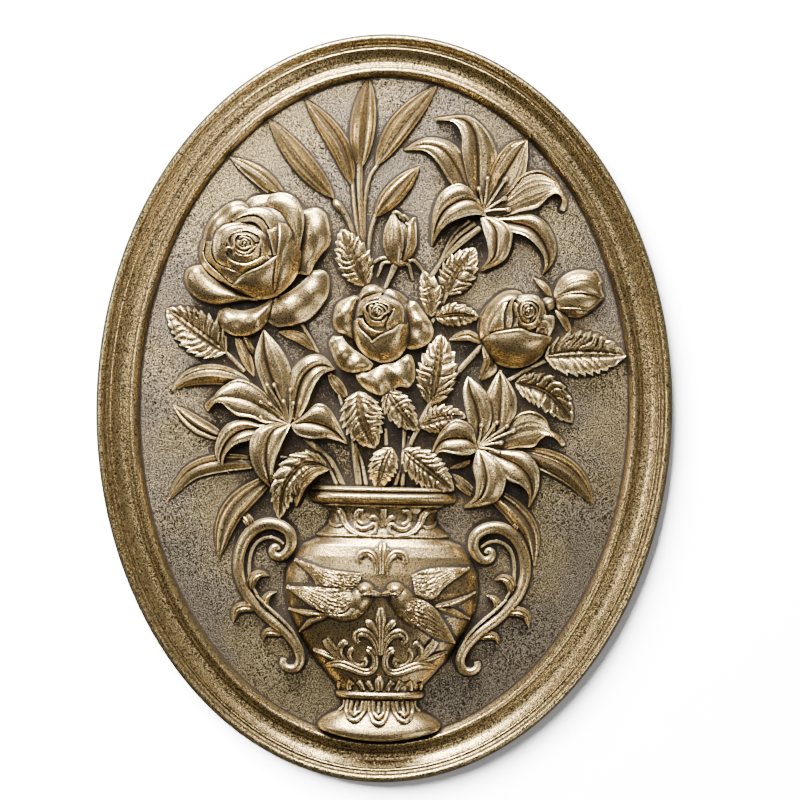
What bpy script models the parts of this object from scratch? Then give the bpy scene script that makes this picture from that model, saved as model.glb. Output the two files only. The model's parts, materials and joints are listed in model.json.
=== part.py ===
"""Oval wall plaque, cast in one piece: roses and lilies in a two-handled urn, inside a moulded frame.

The back lies on the plane Y = 0, the relief faces -Y, +Z is up, and the origin is the middle of the back.
The carving is drawn by hand in small units, each a 400th of the plaque's height up and down and a 308th
of its width across, so it keeps its proportions when the plaque changes size. A rise is measured from the
front of the field, in units of which RELIEF_UNITS make the depth of the relief.
"""
import math

import bmesh
import bpy

# Driving dimensions, in metres
PLAQUE_HEIGHT = 0.400
PLAQUE_WIDTH = 0.308
FIELD_THICKNESS = 0.006
RELIEF_DEPTH = 0.025
EDGE_CHAMFER = 0.0008
RIM_WIDTH = 0.0056
RIM_THICKNESS = 0.0150
RIM_SHOULDER = 0.0035
GROOVE_WIDTH = 0.0014
GROOVE_DEPTH = 0.0016
COVE_WIDTH = 0.0090
COVE_FALL = 0.0042
BEAD_WIDTH = 0.0056
BEAD_THICKNESS = 0.0125

# The drawing's own units
UNITS_UP = 400
UNITS_ACROSS = 308
RELIEF_UNITS = 25
UP = PLAQUE_HEIGHT / UNITS_UP
ACROSS = PLAQUE_WIDTH / UNITS_ACROSS
OUT = RELIEF_DEPTH / RELIEF_UNITS

# How finely the solid is cut
OVAL_SEGMENTS = 72
STEPS_PER_SPAN = 10
LEAF_COLUMNS = (-1.0, -0.5, 0.0, 0.5, 1.0)
FOLD_COLUMNS = (0.0, 0.4, 0.8, 1.0)
BAR_COLUMNS = (-1.0, -0.6, 0.6, 1.0)
VASE_COLUMNS = 9
SCROLL_ROWS = 38
TAIL_HALF_WIDTH = 1.8
SMOOTH_ANGLE = math.radians(38)
KEPT_SHARE = 0.42

# Every raised form starts inside the plate, each a hair deeper than the last, so that no two share a plane
ROOT_SHARE = 0.35
ROOT_STEP = 0.000004

BRONZE = (0.36, 0.26, 0.13, 1.0)
BRONZE_ROUGHNESS = 0.42
BRONZE_METALLIC = 0.85


def place(x, z, rise):
    """World position of a drawn point."""
    return (x * ACROSS, -(FIELD_THICKNESS + rise * OUT), z * UP)


def catmull_rom(before, start, end, after, t):
    """One coordinate of the smooth curve between start and end."""
    slope_in = (end - before) / 2
    slope_out = (after - start) / 2
    return (
        (2 * t**3 - 3 * t**2 + 1) * start
        + (t**3 - 2 * t**2 + t) * slope_in
        + (3 * t**2 - 2 * t**3) * end
        + (t**3 - t**2) * slope_out
    )


def along(knots, count):
    """Smooth line through the knots, read at evenly spaced places along it."""
    last = len(knots) - 1
    dense = []
    for span in range(last):
        four = (knots[max(span - 1, 0)], knots[span], knots[span + 1], knots[min(span + 2, last)])
        for step in range(STEPS_PER_SPAN):
            dense.append([catmull_rom(*values, step / STEPS_PER_SPAN) for values in zip(*four)])
    dense.append(list(knots[last]))
    reach = [0.0]
    for here, there in zip(dense, dense[1:]):
        reach.append(reach[-1] + math.dist(here[:2], there[:2]))
    places = []
    span = 0
    for index in range(count):
        target = reach[-1] * index / (count - 1)
        while span < len(dense) - 2 and reach[span + 1] < target:
            span += 1
        share = (target - reach[span]) / (reach[span + 1] - reach[span])
        places.append([a + (b - a) * share for a, b in zip(dense[span], dense[span + 1])])
    return places


def sideways(line, row):
    """Unit vector to the left of a line at one of its points."""
    ahead = line[min(row + 1, len(line) - 1)]
    behind = line[max(row - 1, 0)]
    run = math.dist(ahead[:2], behind[:2])
    return (behind[1] - ahead[1]) / run, (ahead[0] - behind[0]) / run


def leaf(knots, half_width, dome=1.6, groove=1.0, skew=1.0, blunt=0.8, teeth=0.0, rows=7):
    """Leaf or petal along a line of (x, z, rise), with two lobes beside a middle groove."""
    centre = along(knots, rows)
    grid = []
    for row, (x, z, rise) in enumerate(centre):
        left_x, left_z = sideways(centre, row)
        share = row / (rows - 1)
        spread = max(math.sin(math.pi * share**skew), 0.0) ** blunt
        tooth = 1 + teeth * (-1) ** row
        width = max(half_width * spread * tooth, 0.5)
        points = []
        for u in LEAF_COLUMNS:
            crown = (dome * (1 - u * u) - groove * max(0.0, 1 - 2 * abs(u))) * spread
            points.append((x + left_x * width * u, z + left_z * width * u, rise + crown))
        grid.append(points)
    return grid


def fold(outer, inner, outer_rise, inner_rise, bulge=2.0, rows=7):
    """Petal between two edges, each a line of (x, z), swelling by bulge between them."""
    outside = along(outer, rows)
    inside = along(inner, rows)
    grid = []
    for row, (far, near) in enumerate(zip(outside, inside)):
        taper = math.sin(math.pi * row / (rows - 1)) ** 0.5
        points = []
        for v in FOLD_COLUMNS:
            swell = bulge * math.sin(math.pi * v) * taper
            rise = outer_rise + (inner_rise - outer_rise) * v + swell
            points.append((far[0] + (near[0] - far[0]) * v, far[1] + (near[1] - far[1]) * v, rise))
        grid.append(points)
    return grid


def bar(knots, rows=6):
    """Rounded bar along a line of (x, z, rise, radius)."""
    centre = along(knots, rows)
    grid = []
    for row, (x, z, rise, radius) in enumerate(centre):
        left_x, left_z = sideways(centre, row)
        points = []
        for u in BAR_COLUMNS:
            crown = radius * (1 - u * u)
            points.append((x + left_x * radius * u, z + left_z * radius * u, rise + crown))
        grid.append(points)
    return grid


def mound(x, z, half_length, half_width, edge_rise, top_rise, turn=0.0, rows=7):
    """Domed oval whose length is turned by a number of degrees from +X."""
    angle = math.radians(turn)
    run = (math.cos(angle), math.sin(angle))
    grid = []
    for row in range(rows):
        way = -math.cos(math.pi * (row + 0.5) / rows)
        span = math.sqrt(1 - way * way)
        points = []
        for u in LEAF_COLUMNS:
            side = half_width * span * u
            crown = max(0.0, 1 - way * way - (span * u) ** 2) ** 0.5
            points.append((
                x + run[0] * half_length * way - run[1] * side,
                z + run[1] * half_length * way + run[0] * side,
                edge_rise + (top_rise - edge_rise) * crown,
            ))
        grid.append(points)
    return grid


def arc(x, z, half_across, half_up, start, sweep, count=6):
    """Points of an oval arc, its angles in degrees from +X."""
    points = []
    for index in range(count):
        angle = math.radians(start + sweep * index / (count - 1))
        points.append((x + half_across * math.cos(angle), z + half_up * math.sin(angle)))
    return points


def mirrored(knots, axis_x=0.3):
    """The same line on the other side of the urn's axis."""
    return [(2 * axis_x - x, *rest) for x, *rest in knots]


def fan_leaves():
    """Long pointed leaves that spread behind the flowers, and their stalks."""
    return [
        leaf([(-54, 110, 3), (-69, 123, 3), (-84, 132.5, 1.5)], 5.0),
        leaf([(-29, 112, 3), (-45.5, 130, 3.5), (-64.5, 153.5, 1.5)], 8.0, dome=2.2, rows=8),
        leaf([(-19, 119, 2.5), (-27, 141, 3), (-45, 164.5, 1.5)], 5.6, rows=8),
        leaf([(-15, 128, 2.5), (-14, 150, 3.5), (-11.3, 177, 1.5)], 7.2, dome=2.2, rows=8),
        leaf([(-6.5, 130, 2.5), (6, 151, 3), (25, 173, 1.5)], 6.6, rows=8),
        leaf([(-6.5, 102.5, 3), (3, 114.5, 3.5), (16.5, 129.5, 1.5)], 6.2),
        leaf([(-74, 13, 4), (-91, 16, 5), (-105, 14, 3), (-114, 7.5, 1.5)], 5.6, rows=8),
        leaf([(-84, -17, 4), (-100, -10.5, 3), (-113, -0.5, 1.5)], 4.2),
        leaf([(-66, -31, 4), (-88, -31, 4), (-103, -36.5, 3), (-115.5, -52, 1)], 4.6, rows=9),
        leaf([(-58, -37, 4), (-76, -51.5, 4), (-84, -65, 3), (-87.3, -82.3, 1)], 6.0, rows=9),
        leaf([(56, -43, 4), (70, -53.5, 4), (79, -66, 3), (81.8, -83, 1)], 5.8, rows=9),
        leaf([(72, -22, 4), (91, -28, 4), (102, -36, 3), (110, -49, 1)], 6.4, rows=8),
        leaf([(-38.5, 31, 3), (-46, 37, 4), (-56, 39.5, 2.5)], 2.6, dome=1.0, groove=0.5, rows=5),
        leaf([(-70, 18, 4), (-75, 27, 4), (-80, 37, 3)], 2.6, dome=1.0, groove=0.5, rows=5),
        leaf([(-20, 6, 3), (-25, 11.5, 4), (-30, 18, 3)], 2.8, dome=1.0, groove=0.5, rows=5),
        leaf([(36.5, -34.5, 3), (43, -40.5, 4), (50, -46.5, 3)], 2.8, dome=1.0, groove=0.5, rows=5),
        leaf([(-28, 110.8, 3), (-23, 104.5, 2.5)], 2.2, dome=1.5, groove=0.0, rows=4),
    ]


def stalks():
    """Stems that run from the flowers down into the urn's mouth."""
    return [
        bar([(-26, 108, 2, 1.6), (-21, 100, 2, 1.2), (-16, 89, 2, 1.2)], rows=4),
        bar([(-19, 119, 1.5, 1.2), (-17, 107, 2, 1.2), (-14.5, 90, 2, 1.2)], rows=4),
        bar([(-15, 128, 1.5, 1.6), (-14.5, 110, 2, 1.5), (-13, 88, 2, 1.4)], rows=4),
        bar([(-6.5, 130, 1.5, 1.0), (-11, 120, 2, 1.0), (-12, 104, 2, 1.0), (-12, 88, 2, 1.0)], rows=5),
        bar([(-6.5, 103, 1.5, 1.1), (-9, 94, 2, 1.1), (-10.5, 82, 2, 1.1)], rows=4),
        bar([(49, 98, 6, 1.5), (38, 89, 4, 1.5), (30, 80, 3, 1.4), (22, 68, 3, 1.2)], rows=5),
        bar([(40, 98, 4, 1.2), (34, 88, 3, 1.2), (29, 79, 3, 1.0)], rows=4),
        bar([(33, 62.5, 4, 1.1), (28.5, 53.5, 3, 1.1), (24, 44, 3, 1.0)], rows=4),
        bar([(5, 79, 4, 1.7), (3, 72, 4, 1.4), (-1, 62, 5, 1.1)], rows=4),
        bar([(52, 34.5, 5, 1.1), (45, 27, 4, 1.1), (38, 19, 4, 1.1)], rows=4),
        bar([(88, 27.5, 4, 1.1), (78, 23, 3, 1.1), (66, 16, 4, 1.1)], rows=4),
        bar([(25.5, 4, 7, 1.2), (20, -6, 6, 1.1), (13, -22, 5, 1.1)], rows=4),
        bar([(-44.5, 44, 2, 1.0), (-40, 36, 2, 1.0), (-35, 27, 2, 1.0)], rows=4),
        bar([(-89, 32, 3, 1.0), (-82, 25.5, 3, 1.0), (-76, 19, 3, 1.0)], rows=4),
        bar([(-38, -20, 4, 1.4), (-28, -29, 4, 1.3), (-20.5, -43, 4, 1.2)], rows=4),
        bar([(-16.5, -14, 4, 1.3), (-14.5, -29, 4, 1.5), (-12.5, -43, 4, 1.2)], rows=4),
        bar([(-15, -20, 4, 0.9), (-11.5, -31, 4, 0.9), (-8.5, -43, 4, 0.9)], rows=4),
        bar([(11, -11, 4, 1.1), (11, -27, 4, 1.1), (10.5, -43, 4, 1.1)], rows=4),
        bar([(19, -10, 5, 1.1), (12, -27, 4, 1.1), (6, -43, 4, 1.0)], rows=4),
    ]


def toothed_leaves():
    """Rose leaves with toothed edges."""
    shape = dict(dome=2.6, groove=1.8, blunt=0.62, teeth=0.07)
    return [
        leaf([(-11, 65.5, 5), (-17.5, 79, 7), (-24.5, 95, 5)], 8.6, skew=0.95, rows=9, **shape),
        leaf([(24.5, 50, 5), (24, 62, 6), (19.5, 73, 5)], 5.4, **shape),
        leaf([(32.5, 61.5, 4), (38.5, 73.5, 5), (46.8, 86, 3)], 8.6, rows=9, **shape),
        leaf([(27, 49, 5), (38, 50.5, 6), (49.5, 49.5, 4)], 5.6, **shape),
        leaf([(85.5, 29.5, 7), (106, 31, 7), (128.5, 30.3, 4)], 11.0, skew=0.9, rows=11, **shape),
        leaf([(70.5, 14.5, 5), (87, 9.5, 7), (100.5, -5.5, 4)], 8.2, rows=9, **shape),
        leaf([(25, 3, 7), (28, 20, 10), (30, 39.5, 7)], 10.0, skew=0.92, rows=11, **shape),
        leaf([(-14, 8, 10), (-11.5, -6, 13), (-4.5, -21, 9)], 10.8, skew=0.88, rows=11, **shape),
        leaf([(2, 9, 8), (8, -0.5, 10), (17.5, -11, 8)], 6.6, rows=9, **shape),
        leaf([(19.5, -9, 8), (31, -5, 9), (43.5, -4, 6)], 6.6, rows=9, **shape),
        leaf([(4, -21.5, 10), (0, -31, 12), (-3, -42.5, 9)], 7.0, rows=9, **shape),
        leaf([(10.5, -22.5, 10), (23, -32, 12), (37.5, -43, 9)], 8.2, rows=9, **shape),
        leaf([(-85.5, 28.5, 5), (-98.5, 37.5, 7), (-117, 50.8, 3.5)], 10.4, skew=0.9, rows=11, **shape),
        leaf([(-34, -32, 8), (-45, -33, 13), (-52, -45, 13), (-55, -60, 8)], 7.2, rows=9, **shape),
    ]


def left_lily():
    """Lily on the left, looking out and up."""
    return [
        leaf([(-52, -8, 8), (-59.5, 14, 8), (-65, 41.5, 5)], 10.2, dome=2.4, groove=2, blunt=0.7, rows=9),
        leaf([(-49, -9, 9), (-44, 10, 11), (-38, 22, 12), (-26.5, 20, 7)], 8.0, dome=3, groove=2, rows=9),
        leaf([(-50, -10, 12), (-36, -7, 14), (-19.5, -18.5, 7)], 9.6, dome=4, groove=2, blunt=0.65, rows=8),
        leaf([(-54, -6, 11), (-68, 1.5, 13), (-80, 4, 13), (-95, -2, 7)], 9.6, dome=3, groove=1.2, rows=9),
        leaf([(-56, -8, 10), (-72, -11.5, 13), (-83, -20, 12), (-85, -36, 6)], 7.0, dome=3, groove=2, rows=9),
        leaf([(-53, -9, 11), (-62.5, -23, 15), (-58.5, -43, 8)], 9.0, dome=3.4, groove=2, blunt=0.7, rows=9),
    ]


def top_lily():
    """Lily at the upper right."""
    return [
        leaf([(48, 106, 7), (38, 126, 9), (26, 140, 9), (8.5, 139, 4)], 7.0, dome=2.4, groove=1.6, rows=9),
        leaf([(50, 107, 8), (47, 130, 8), (42, 147, 9), (25, 155, 4)], 9.0, dome=2.4, groove=2, rows=9),
        leaf([(52, 106, 8), (63, 124, 7), (73.8, 145, 4)], 8.8, dome=1.2, groove=2.4, blunt=0.7, rows=8),
        leaf([(52, 104, 7), (68, 112, 7), (83, 117, 8), (94.5, 109, 6)], 11.0, dome=1.6, groove=1.4, rows=9),
        leaf([(55, 101, 8), (72, 100, 9), (85, 91, 9), (84, 73.5, 4)], 7.4, dome=2.6, groove=2, rows=9),
        leaf([(53, 103, 9), (60, 90, 13), (51, 75.5, 7)], 8.4, dome=3.2, groove=2, blunt=0.7, rows=8),
        leaf([(51, 105, 10), (38, 110, 14), (29, 104, 12), (24, 88, 6)], 9.0, dome=3.4, groove=2, rows=9),
    ]


def right_lily():
    """Lily at the lower right."""
    return [
        leaf([(50, -18, 8), (50.5, -2, 9), (43.5, 17.5, 6)], 7.4, dome=2, groove=1.6, blunt=0.7, rows=8),
        leaf([(54, -17, 8), (62.5, 0, 8), (61.5, 21.5, 5)], 9.0, dome=1.8, groove=1.8, blunt=0.7, rows=8),
        leaf([(53, -19, 8), (70, -11, 8), (84, -9, 8), (96.5, -17, 5)], 10.2, dome=1.6, groove=1.4, rows=9),
        leaf([(56, -21, 9), (71, -28, 12), (79.5, -37, 11), (78.5, -51, 5)], 8.0, dome=3.2, groove=2, rows=9),
        leaf([(51, -21, 10), (57, -33, 14), (55, -44, 12), (44, -52, 6)], 8.8, dome=3.4, groove=2, rows=9),
        leaf([(50.5, -20, 11), (39, -14.5, 14), (25, -27.5, 7)], 9.4, dome=3.4, groove=2, blunt=0.7, rows=8),
    ]


def stamens(x, z, rise, tips):
    """Threads that spread from a lily's throat, each with a knob."""
    threads = []
    for tip_x, tip_z in tips:
        knots = [
            (x, z, rise, 0.6),
            ((x + tip_x) / 2, (z + tip_z) / 2, rise + 1, 0.6),
            (tip_x, tip_z, rise + 2.5, 1.2),
        ]
        threads.append(bar(knots, rows=4))
    return threads


def big_rose():
    """Open rose at the upper left, from its outer petals in to its heart."""
    heart = (-74, 86.5)
    return [
        mound(-73, 83, 25, 24, 2, 15),
        fold([(-56, 113.5), (-63, 113.5), (-69, 112.5), (-75, 109)], [(-58, 104), (-66, 105), (-76, 104)], 7, 11),
        fold(
            [(-45, 82), (-44, 95), (-44, 104), (-48, 111), (-55, 114), (-62, 112)],
            [(-50, 84), (-54, 95), (-57, 100), (-60, 104), (-64, 106), (-67, 107)],
            9, 11, bulge=4,
        ),
        fold(
            [(-41, 69), (-36.5, 79), (-31, 85), (-30, 92), (-32.5, 102), (-40, 107)],
            [(-46, 72), (-46, 80), (-47, 90), (-46.5, 98), (-45, 106)],
            8, 9, bulge=5,
        ),
        fold(
            [(-62, 46), (-55, 42.5), (-45, 44.5), (-36, 52), (-30.5, 63), (-32, 73)],
            [(-62, 57), (-56, 60), (-49, 64.5), (-43, 69), (-39, 72.5)],
            7, 8, bulge=4, rows=8,
        ),
        leaf([(-69, 56.8, 6), (-84, 58.5, 7), (-96, 62, 8), (-106, 68, 6)], 8.2, dome=4.5, groove=0,
             skew=1.5, blunt=0.55, rows=8),
        leaf([(-60, 56, 6), (-67, 46, 7), (-78, 43.5, 7), (-90, 48, 6)], 7.0, dome=4.5, groove=0,
             blunt=0.55, rows=8),
        fold(
            [(-98.5, 86), (-96, 96), (-90, 102.5), (-82, 108.5), (-74, 108), (-66, 105.5), (-57, 97)],
            [(-92, 85), (-90, 92), (-85, 97), (-77, 100), (-70, 100.5), (-65, 97), (-62, 92)],
            9, 19, bulge=2, rows=10,
        ),
        fold(
            [(-99, 87), (-99, 78), (-96, 71.5), (-89, 66.5), (-81, 62)],
            [(-96, 87), (-95.5, 79), (-93, 73.5), (-88, 69), (-80, 65)],
            9, 15, bulge=1,
        ),
        fold(
            [(-95, 86), (-95, 77.5), (-90.5, 72), (-84, 70), (-77, 68.5)],
            [(-91, 86), (-90, 79), (-87, 75), (-82, 73), (-77, 71)],
            14, 18, bulge=1,
        ),
        fold(
            [(-90, 75), (-92, 84), (-91, 91), (-85, 95.5), (-77, 96.5)],
            [(-83, 78), (-84, 84), (-81, 90), (-78, 93.5), (-74.6, 94.8)],
            15, 21, bulge=1.5,
        ),
        fold(
            [(-82, 62), (-77, 58), (-69, 56), (-62, 56.5), (-56, 60)],
            [(-82, 64), (-77, 68.5), (-70, 72), (-64, 75), (-57, 79.5)],
            8, 21, bulge=4,
        ),
        fold(
            [(-49, 90), (-45.5, 83), (-45, 76), (-48, 68), (-56, 60)],
            [(-56, 96), (-56, 89), (-56.5, 82), (-57.5, 73), (-59, 62)],
            9, 21, bulge=4,
        ),
        leaf([(-55, 97.5, 19), (-53.5, 91, 20), (-55, 83, 20), (-58, 68, 17)], 3.6, dome=1.5, groove=0,
             skew=0.7, rows=7),
        fold(
            [(-60, 94), (-57, 88), (-58, 82), (-62, 78), (-68, 75)],
            [(-64, 92), (-63, 88), (-64.5, 83), (-68, 80), (-72, 78)],
            16, 21, bulge=1,
        ),
        fold(
            [(-88, 77), (-84, 72.5), (-78, 71), (-72, 71.5), (-66, 74.5)],
            [(-85.5, 79.5), (-82.5, 76), (-77, 74.5), (-72, 75.5), (-68, 77.5)],
            14, 19, bulge=1,
        ),
        fold(arc(*heart, 11.5, 10, 120, 330), arc(*heart, 9, 7.6, 120, 330), 17, 22, bulge=0.5, rows=12),
        fold(arc(-73.5, 87, 6.6, 5.4, -20, 320), arc(-73.5, 87, 5, 3.8, -20, 320), 19, 22, bulge=0.5, rows=10),
        mound(-74, 86.5, 3, 2.2, 17, 22, rows=5),
        mound(-74, 86.5, 9.5, 8.2, 15, 19, rows=6),
    ]


def small_rose():
    """Open rose in the middle of the bunch."""
    return [
        mound(-3, 46, 19, 19, 4, 14),
        leaf([(-17, 36.5, 9), (-23, 44, 9), (-22, 52, 9), (-17, 61, 8)], 6.8, dome=4, groove=0, blunt=0.5),
        leaf([(-16, 57, 9), (-8, 61.5, 9), (0, 60, 9)], 5.4, dome=3.5, groove=0, blunt=0.5),
        leaf([(-3, 61, 9), (3.5, 60.5, 9), (9, 53, 9)], 4.6, dome=3, groove=0, blunt=0.5),
        leaf([(13, 57.5, 8), (18, 48, 10), (19, 40, 10), (12, 31.5, 8)], 7.0, dome=4, groove=0, blunt=0.5),
        leaf([(-29, 38, 9), (-22, 28, 11), (-6, 21.5, 9)], 7.6, dome=4, groove=0, blunt=0.5),
        leaf([(-16, 18, 8), (-7, 13, 9), (-4, 17.5, 9)], 3.4, dome=2, groove=0, blunt=0.5, rows=5),
        leaf([(-9, 18, 9), (1, 15, 12), (9, 17.5, 12), (14, 28, 9)], 8.0, dome=4, groove=0, blunt=0.5),
        fold(
            [(-18, 47), (-17.5, 38), (-14, 31), (-8, 26.5), (-1, 24.5)],
            [(-16, 47), (-14, 42), (-10, 38.5), (-8, 36), (-4, 34)],
            9, 18, bulge=4,
        ),
        fold(
            [(-8, 27), (-1, 24), (6, 26), (11, 32), (12, 44)],
            [(-7, 35), (-4, 38), (1, 41), (5, 43), (10, 45)],
            9, 20, bulge=4,
        ),
        fold(
            [(12, 43), (12, 50), (10, 55), (7, 59), (0, 59), (-5, 61.5)],
            [(8, 44), (8.5, 50), (7.5, 54), (5, 57), (0, 57), (-4, 58)],
            11, 18, bulge=1,
        ),
        fold(
            [(-4, 61), (-10, 59), (-14, 55), (-15, 50), (-14, 45), (-10, 40)],
            [(-3, 58.5), (-8, 57.5), (-11.5, 54.5), (-12.5, 50.5), (-11, 46), (-8, 42)],
            11, 18, bulge=1,
        ),
        fold(arc(-4.5, 51, 9.5, 8.5, 35, 320), arc(-4.5, 51.5, 7.2, 6.4, 35, 320), 15, 20, bulge=0.5, rows=11),
        fold(arc(-4.5, 52.5, 5, 4.4, -60, 320), arc(-4.5, 52.5, 3.6, 3, -60, 320), 17, 20, bulge=0.3, rows=9),
        mound(-4.5, 52, 7, 6.4, 13, 17, rows=6),
        leaf([(1, 45, 17), (4.5, 48.5, 17), (6.5, 52, 17)], 2.6, dome=1.5, groove=0, rows=5),
    ]


def opening_rose():
    """Half-open rose on the right, seen from its side."""
    return [
        mound(68, 44, 20, 18, 4, 14),
        fold(
            [(51.5, 36), (55, 29), (61, 24.5), (69, 22.5), (77, 25), (84, 31), (89, 38)],
            [(52.5, 37), (57, 40), (63, 42), (70, 43.5), (76, 42), (82, 40.5), (88, 39)],
            5, 17, bulge=6, rows=9,
        ),
        fold(
            [(50.5, 37), (50.5, 46), (54, 55), (60, 62), (68, 64.5), (73, 60)],
            [(56, 37), (57, 45), (60, 52), (63, 57), (67, 58), (70, 55)],
            8, 14, bulge=3, rows=8,
        ),
        leaf([(66.5, 44, 14), (63.5, 51, 16), (64, 59, 14)], 2.8, dome=1, groove=0, rows=5),
        leaf([(69, 45, 15), (67.5, 53, 17), (70.5, 61.5, 15)], 2.8, dome=1.2, groove=0, rows=5),
        fold(
            [(89, 38), (91.5, 46), (89, 51.5), (83, 52.5)],
            [(80, 41), (82, 45), (82, 48), (80, 51)],
            9, 14, bulge=2,
        ),
        fold(arc(76, 53, 9.4, 9.8, 160, 320), arc(76, 53, 6.6, 7.2, 160, 320), 12, 19, bulge=0.8, rows=11),
        fold(arc(76, 53, 4.8, 5.2, 10, 320), arc(76, 53, 3.2, 3.6, 10, 320), 16, 19, bulge=0.3, rows=9),
        mound(76, 53, 6.8, 7.2, 12, 16, rows=6),
        leaf([(51, 35.5, 6), (44, 39.3, 7), (34, 37, 4)], 2.4, dome=1.2, groove=0.4, rows=6),
        leaf([(52, 34, 6), (56.5, 25, 7), (51, 16.5, 4)], 3.8, dome=1.6, groove=1.2, rows=6),
    ]


def buds():
    """The two closed buds with their sepals."""
    top_sepals = [
        [(1, 79, 5, 0.8), (-3.5, 79.6, 4, 0.8), (-9, 76, 3, 0.6)],
        [(1, 78, 5, 0.8), (-2.5, 75, 4, 0.8), (-4.5, 70.5, 3, 0.6)],
        [(12, 79, 5, 0.8), (15.5, 78.6, 4, 0.8), (19.5, 73.5, 3, 0.6)],
        [(9, 77.5, 5, 0.8), (12, 73.5, 4, 0.8), (14, 69, 3, 0.6)],
    ]
    return [
        mound(7, 90.5, 14, 9.8, 1, 10, turn=90, rows=8),
        leaf([(5, 77, 8), (3, 90, 10), (4.5, 104.5, 8)], 6.6, dome=3, groove=0, blunt=0.55, rows=8),
        leaf([(8, 77.5, 7), (12.5, 88, 8.5), (14.5, 102, 5)], 4.8, dome=2.5, groove=0, blunt=0.55, rows=8),
        leaf([(6, 100, 8), (10, 99.5, 8), (14, 102.5, 6)], 1.8, dome=1, groove=0.5, rows=5),
        *[bar(knots, rows=4) for knots in top_sepals],
        mound(103, 63, 14, 12, 1, 9, turn=5, rows=8),
        leaf([(89, 63, 8), (100, 70, 10), (115, 68, 7)], 6.4, dome=3, groove=0, blunt=0.55, rows=8),
        leaf([(90, 59, 8), (102, 59.5, 10), (116.5, 60.5, 7)], 4.6, dome=2.5, groove=0, blunt=0.55, rows=8),
        leaf([(91, 55, 6), (99, 53.5, 8), (109, 54, 5)], 3.0, dome=2, groove=0, blunt=0.55, rows=7),
        mound(87, 57.3, 5.2, 4, 1, 9, turn=20, rows=6),
        leaf([(88, 60.5, 5), (84, 66, 5), (79, 70.5, 3)], 1.7, dome=1, groove=0.4, rows=5),
        leaf([(91, 53.5, 5), (95.5, 49, 5), (99.5, 41, 3)], 2.0, dome=1, groove=0.4, rows=5),
    ]


# Stations of the urn from its lip down: z, half width, rise in the middle, sag of the line in the middle
URN_PROFILE = [
    (-42.2, 37.8, 15.2, 0.0),
    (-43.6, 39.0, 16.4, 0.0),
    (-45.4, 38.0, 15.4, 0.0),
    (-46.0, 37.0, 14.6, 0.0),
    (-48.2, 39.0, 16.8, 0.0),
    (-50.6, 36.5, 15.2, 0.0),
    (-51.4, 31.0, 13.0, 0.0),
    (-52.2, 31.4, 13.8, 0.0),
    (-53.2, 28.6, 12.2, 0.0),
    (-58.0, 28.2, 11.8, 0.0),
    (-63.0, 29.8, 12.4, 0.0),
    (-66.8, 34.0, 14.0, 0.0),
    (-67.4, 35.2, 15.2, 0.0),
    (-68.9, 35.2, 15.2, 0.0),
    (-69.8, 35.0, 14.6, 0.0),
    (-73.0, 42.5, 16.8, 0.0),
    (-79.0, 48.0, 18.8, 0.0),
    (-88.0, 51.4, 20.4, 0.0),
    (-98.0, 52.0, 20.8, 0.0),
    (-108.0, 50.2, 20.2, 0.0),
    (-119.0, 45.4, 18.6, 0.0),
    (-130.0, 38.8, 16.6, 0.0),
    (-140.0, 30.5, 14.2, 0.0),
    (-150.2, 21.6, 11.6, 0.0),
    (-150.9, 23.2, 12.8, 0.2),
    (-152.7, 23.8, 13.8, 0.2),
    (-154.6, 22.8, 12.8, 0.2),
    (-155.4, 20.2, 11.2, 0.2),
    (-158.5, 19.4, 10.8, 0.4),
    (-161.5, 21.8, 11.6, 0.8),
    (-164.0, 27.4, 13.6, 1.4),
    (-166.5, 31.2, 15.6, 2.2),
    (-169.0, 33.0, 17.0, 3.4),
    (-171.8, 32.6, 17.2, 4.8),
]
URN_AXIS_X = 0.3
URN_ROUNDNESS = 2.3


def urn_bow(share):
    """Rise of the urn's round front at a share of its half width, as a share of the middle's."""
    return max(0.0, 1 - abs(share) ** URN_ROUNDNESS) ** (1 / URN_ROUNDNESS)


def urn_rise(x, z):
    """Rise of the urn's surface at a drawn point."""
    for above, below in zip(URN_PROFILE, URN_PROFILE[1:]):
        if below[0] <= z <= above[0]:
            share = (above[0] - z) / (above[0] - below[0])
            half_width = above[1] + (below[1] - above[1]) * share
            middle = above[2] + (below[2] - above[2]) * share
            return middle * urn_bow(min(1.0, abs(x - URN_AXIS_X) / half_width))
    return 0.0


def urn():
    """The urn's round body, from lip to foot."""
    grid = []
    for z, half_width, middle, sag in URN_PROFILE:
        points = []
        for column in range(VASE_COLUMNS):
            share = -math.cos(math.pi * column / (VASE_COLUMNS - 1))
            drop = sag * (1 - share * share)
            points.append((URN_AXIS_X + half_width * share, z - drop, middle * urn_bow(share) - 0.6))
        grid.append(points)
    return grid


def on_urn(knots, lift):
    """Lay a line of (x, z, radius) on the urn, raised by lift."""
    return [(x, z, urn_rise(x, z) + lift, radius) for x, z, radius in knots]


def both_sides(lines, rows):
    """Bars laid on the urn along each line and along its mirror image."""
    bars = []
    for line in lines:
        for side in (line, mirrored(line)):
            bars.append(bar(on_urn(side, -0.6), rows=rows))
    return bars


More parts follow.
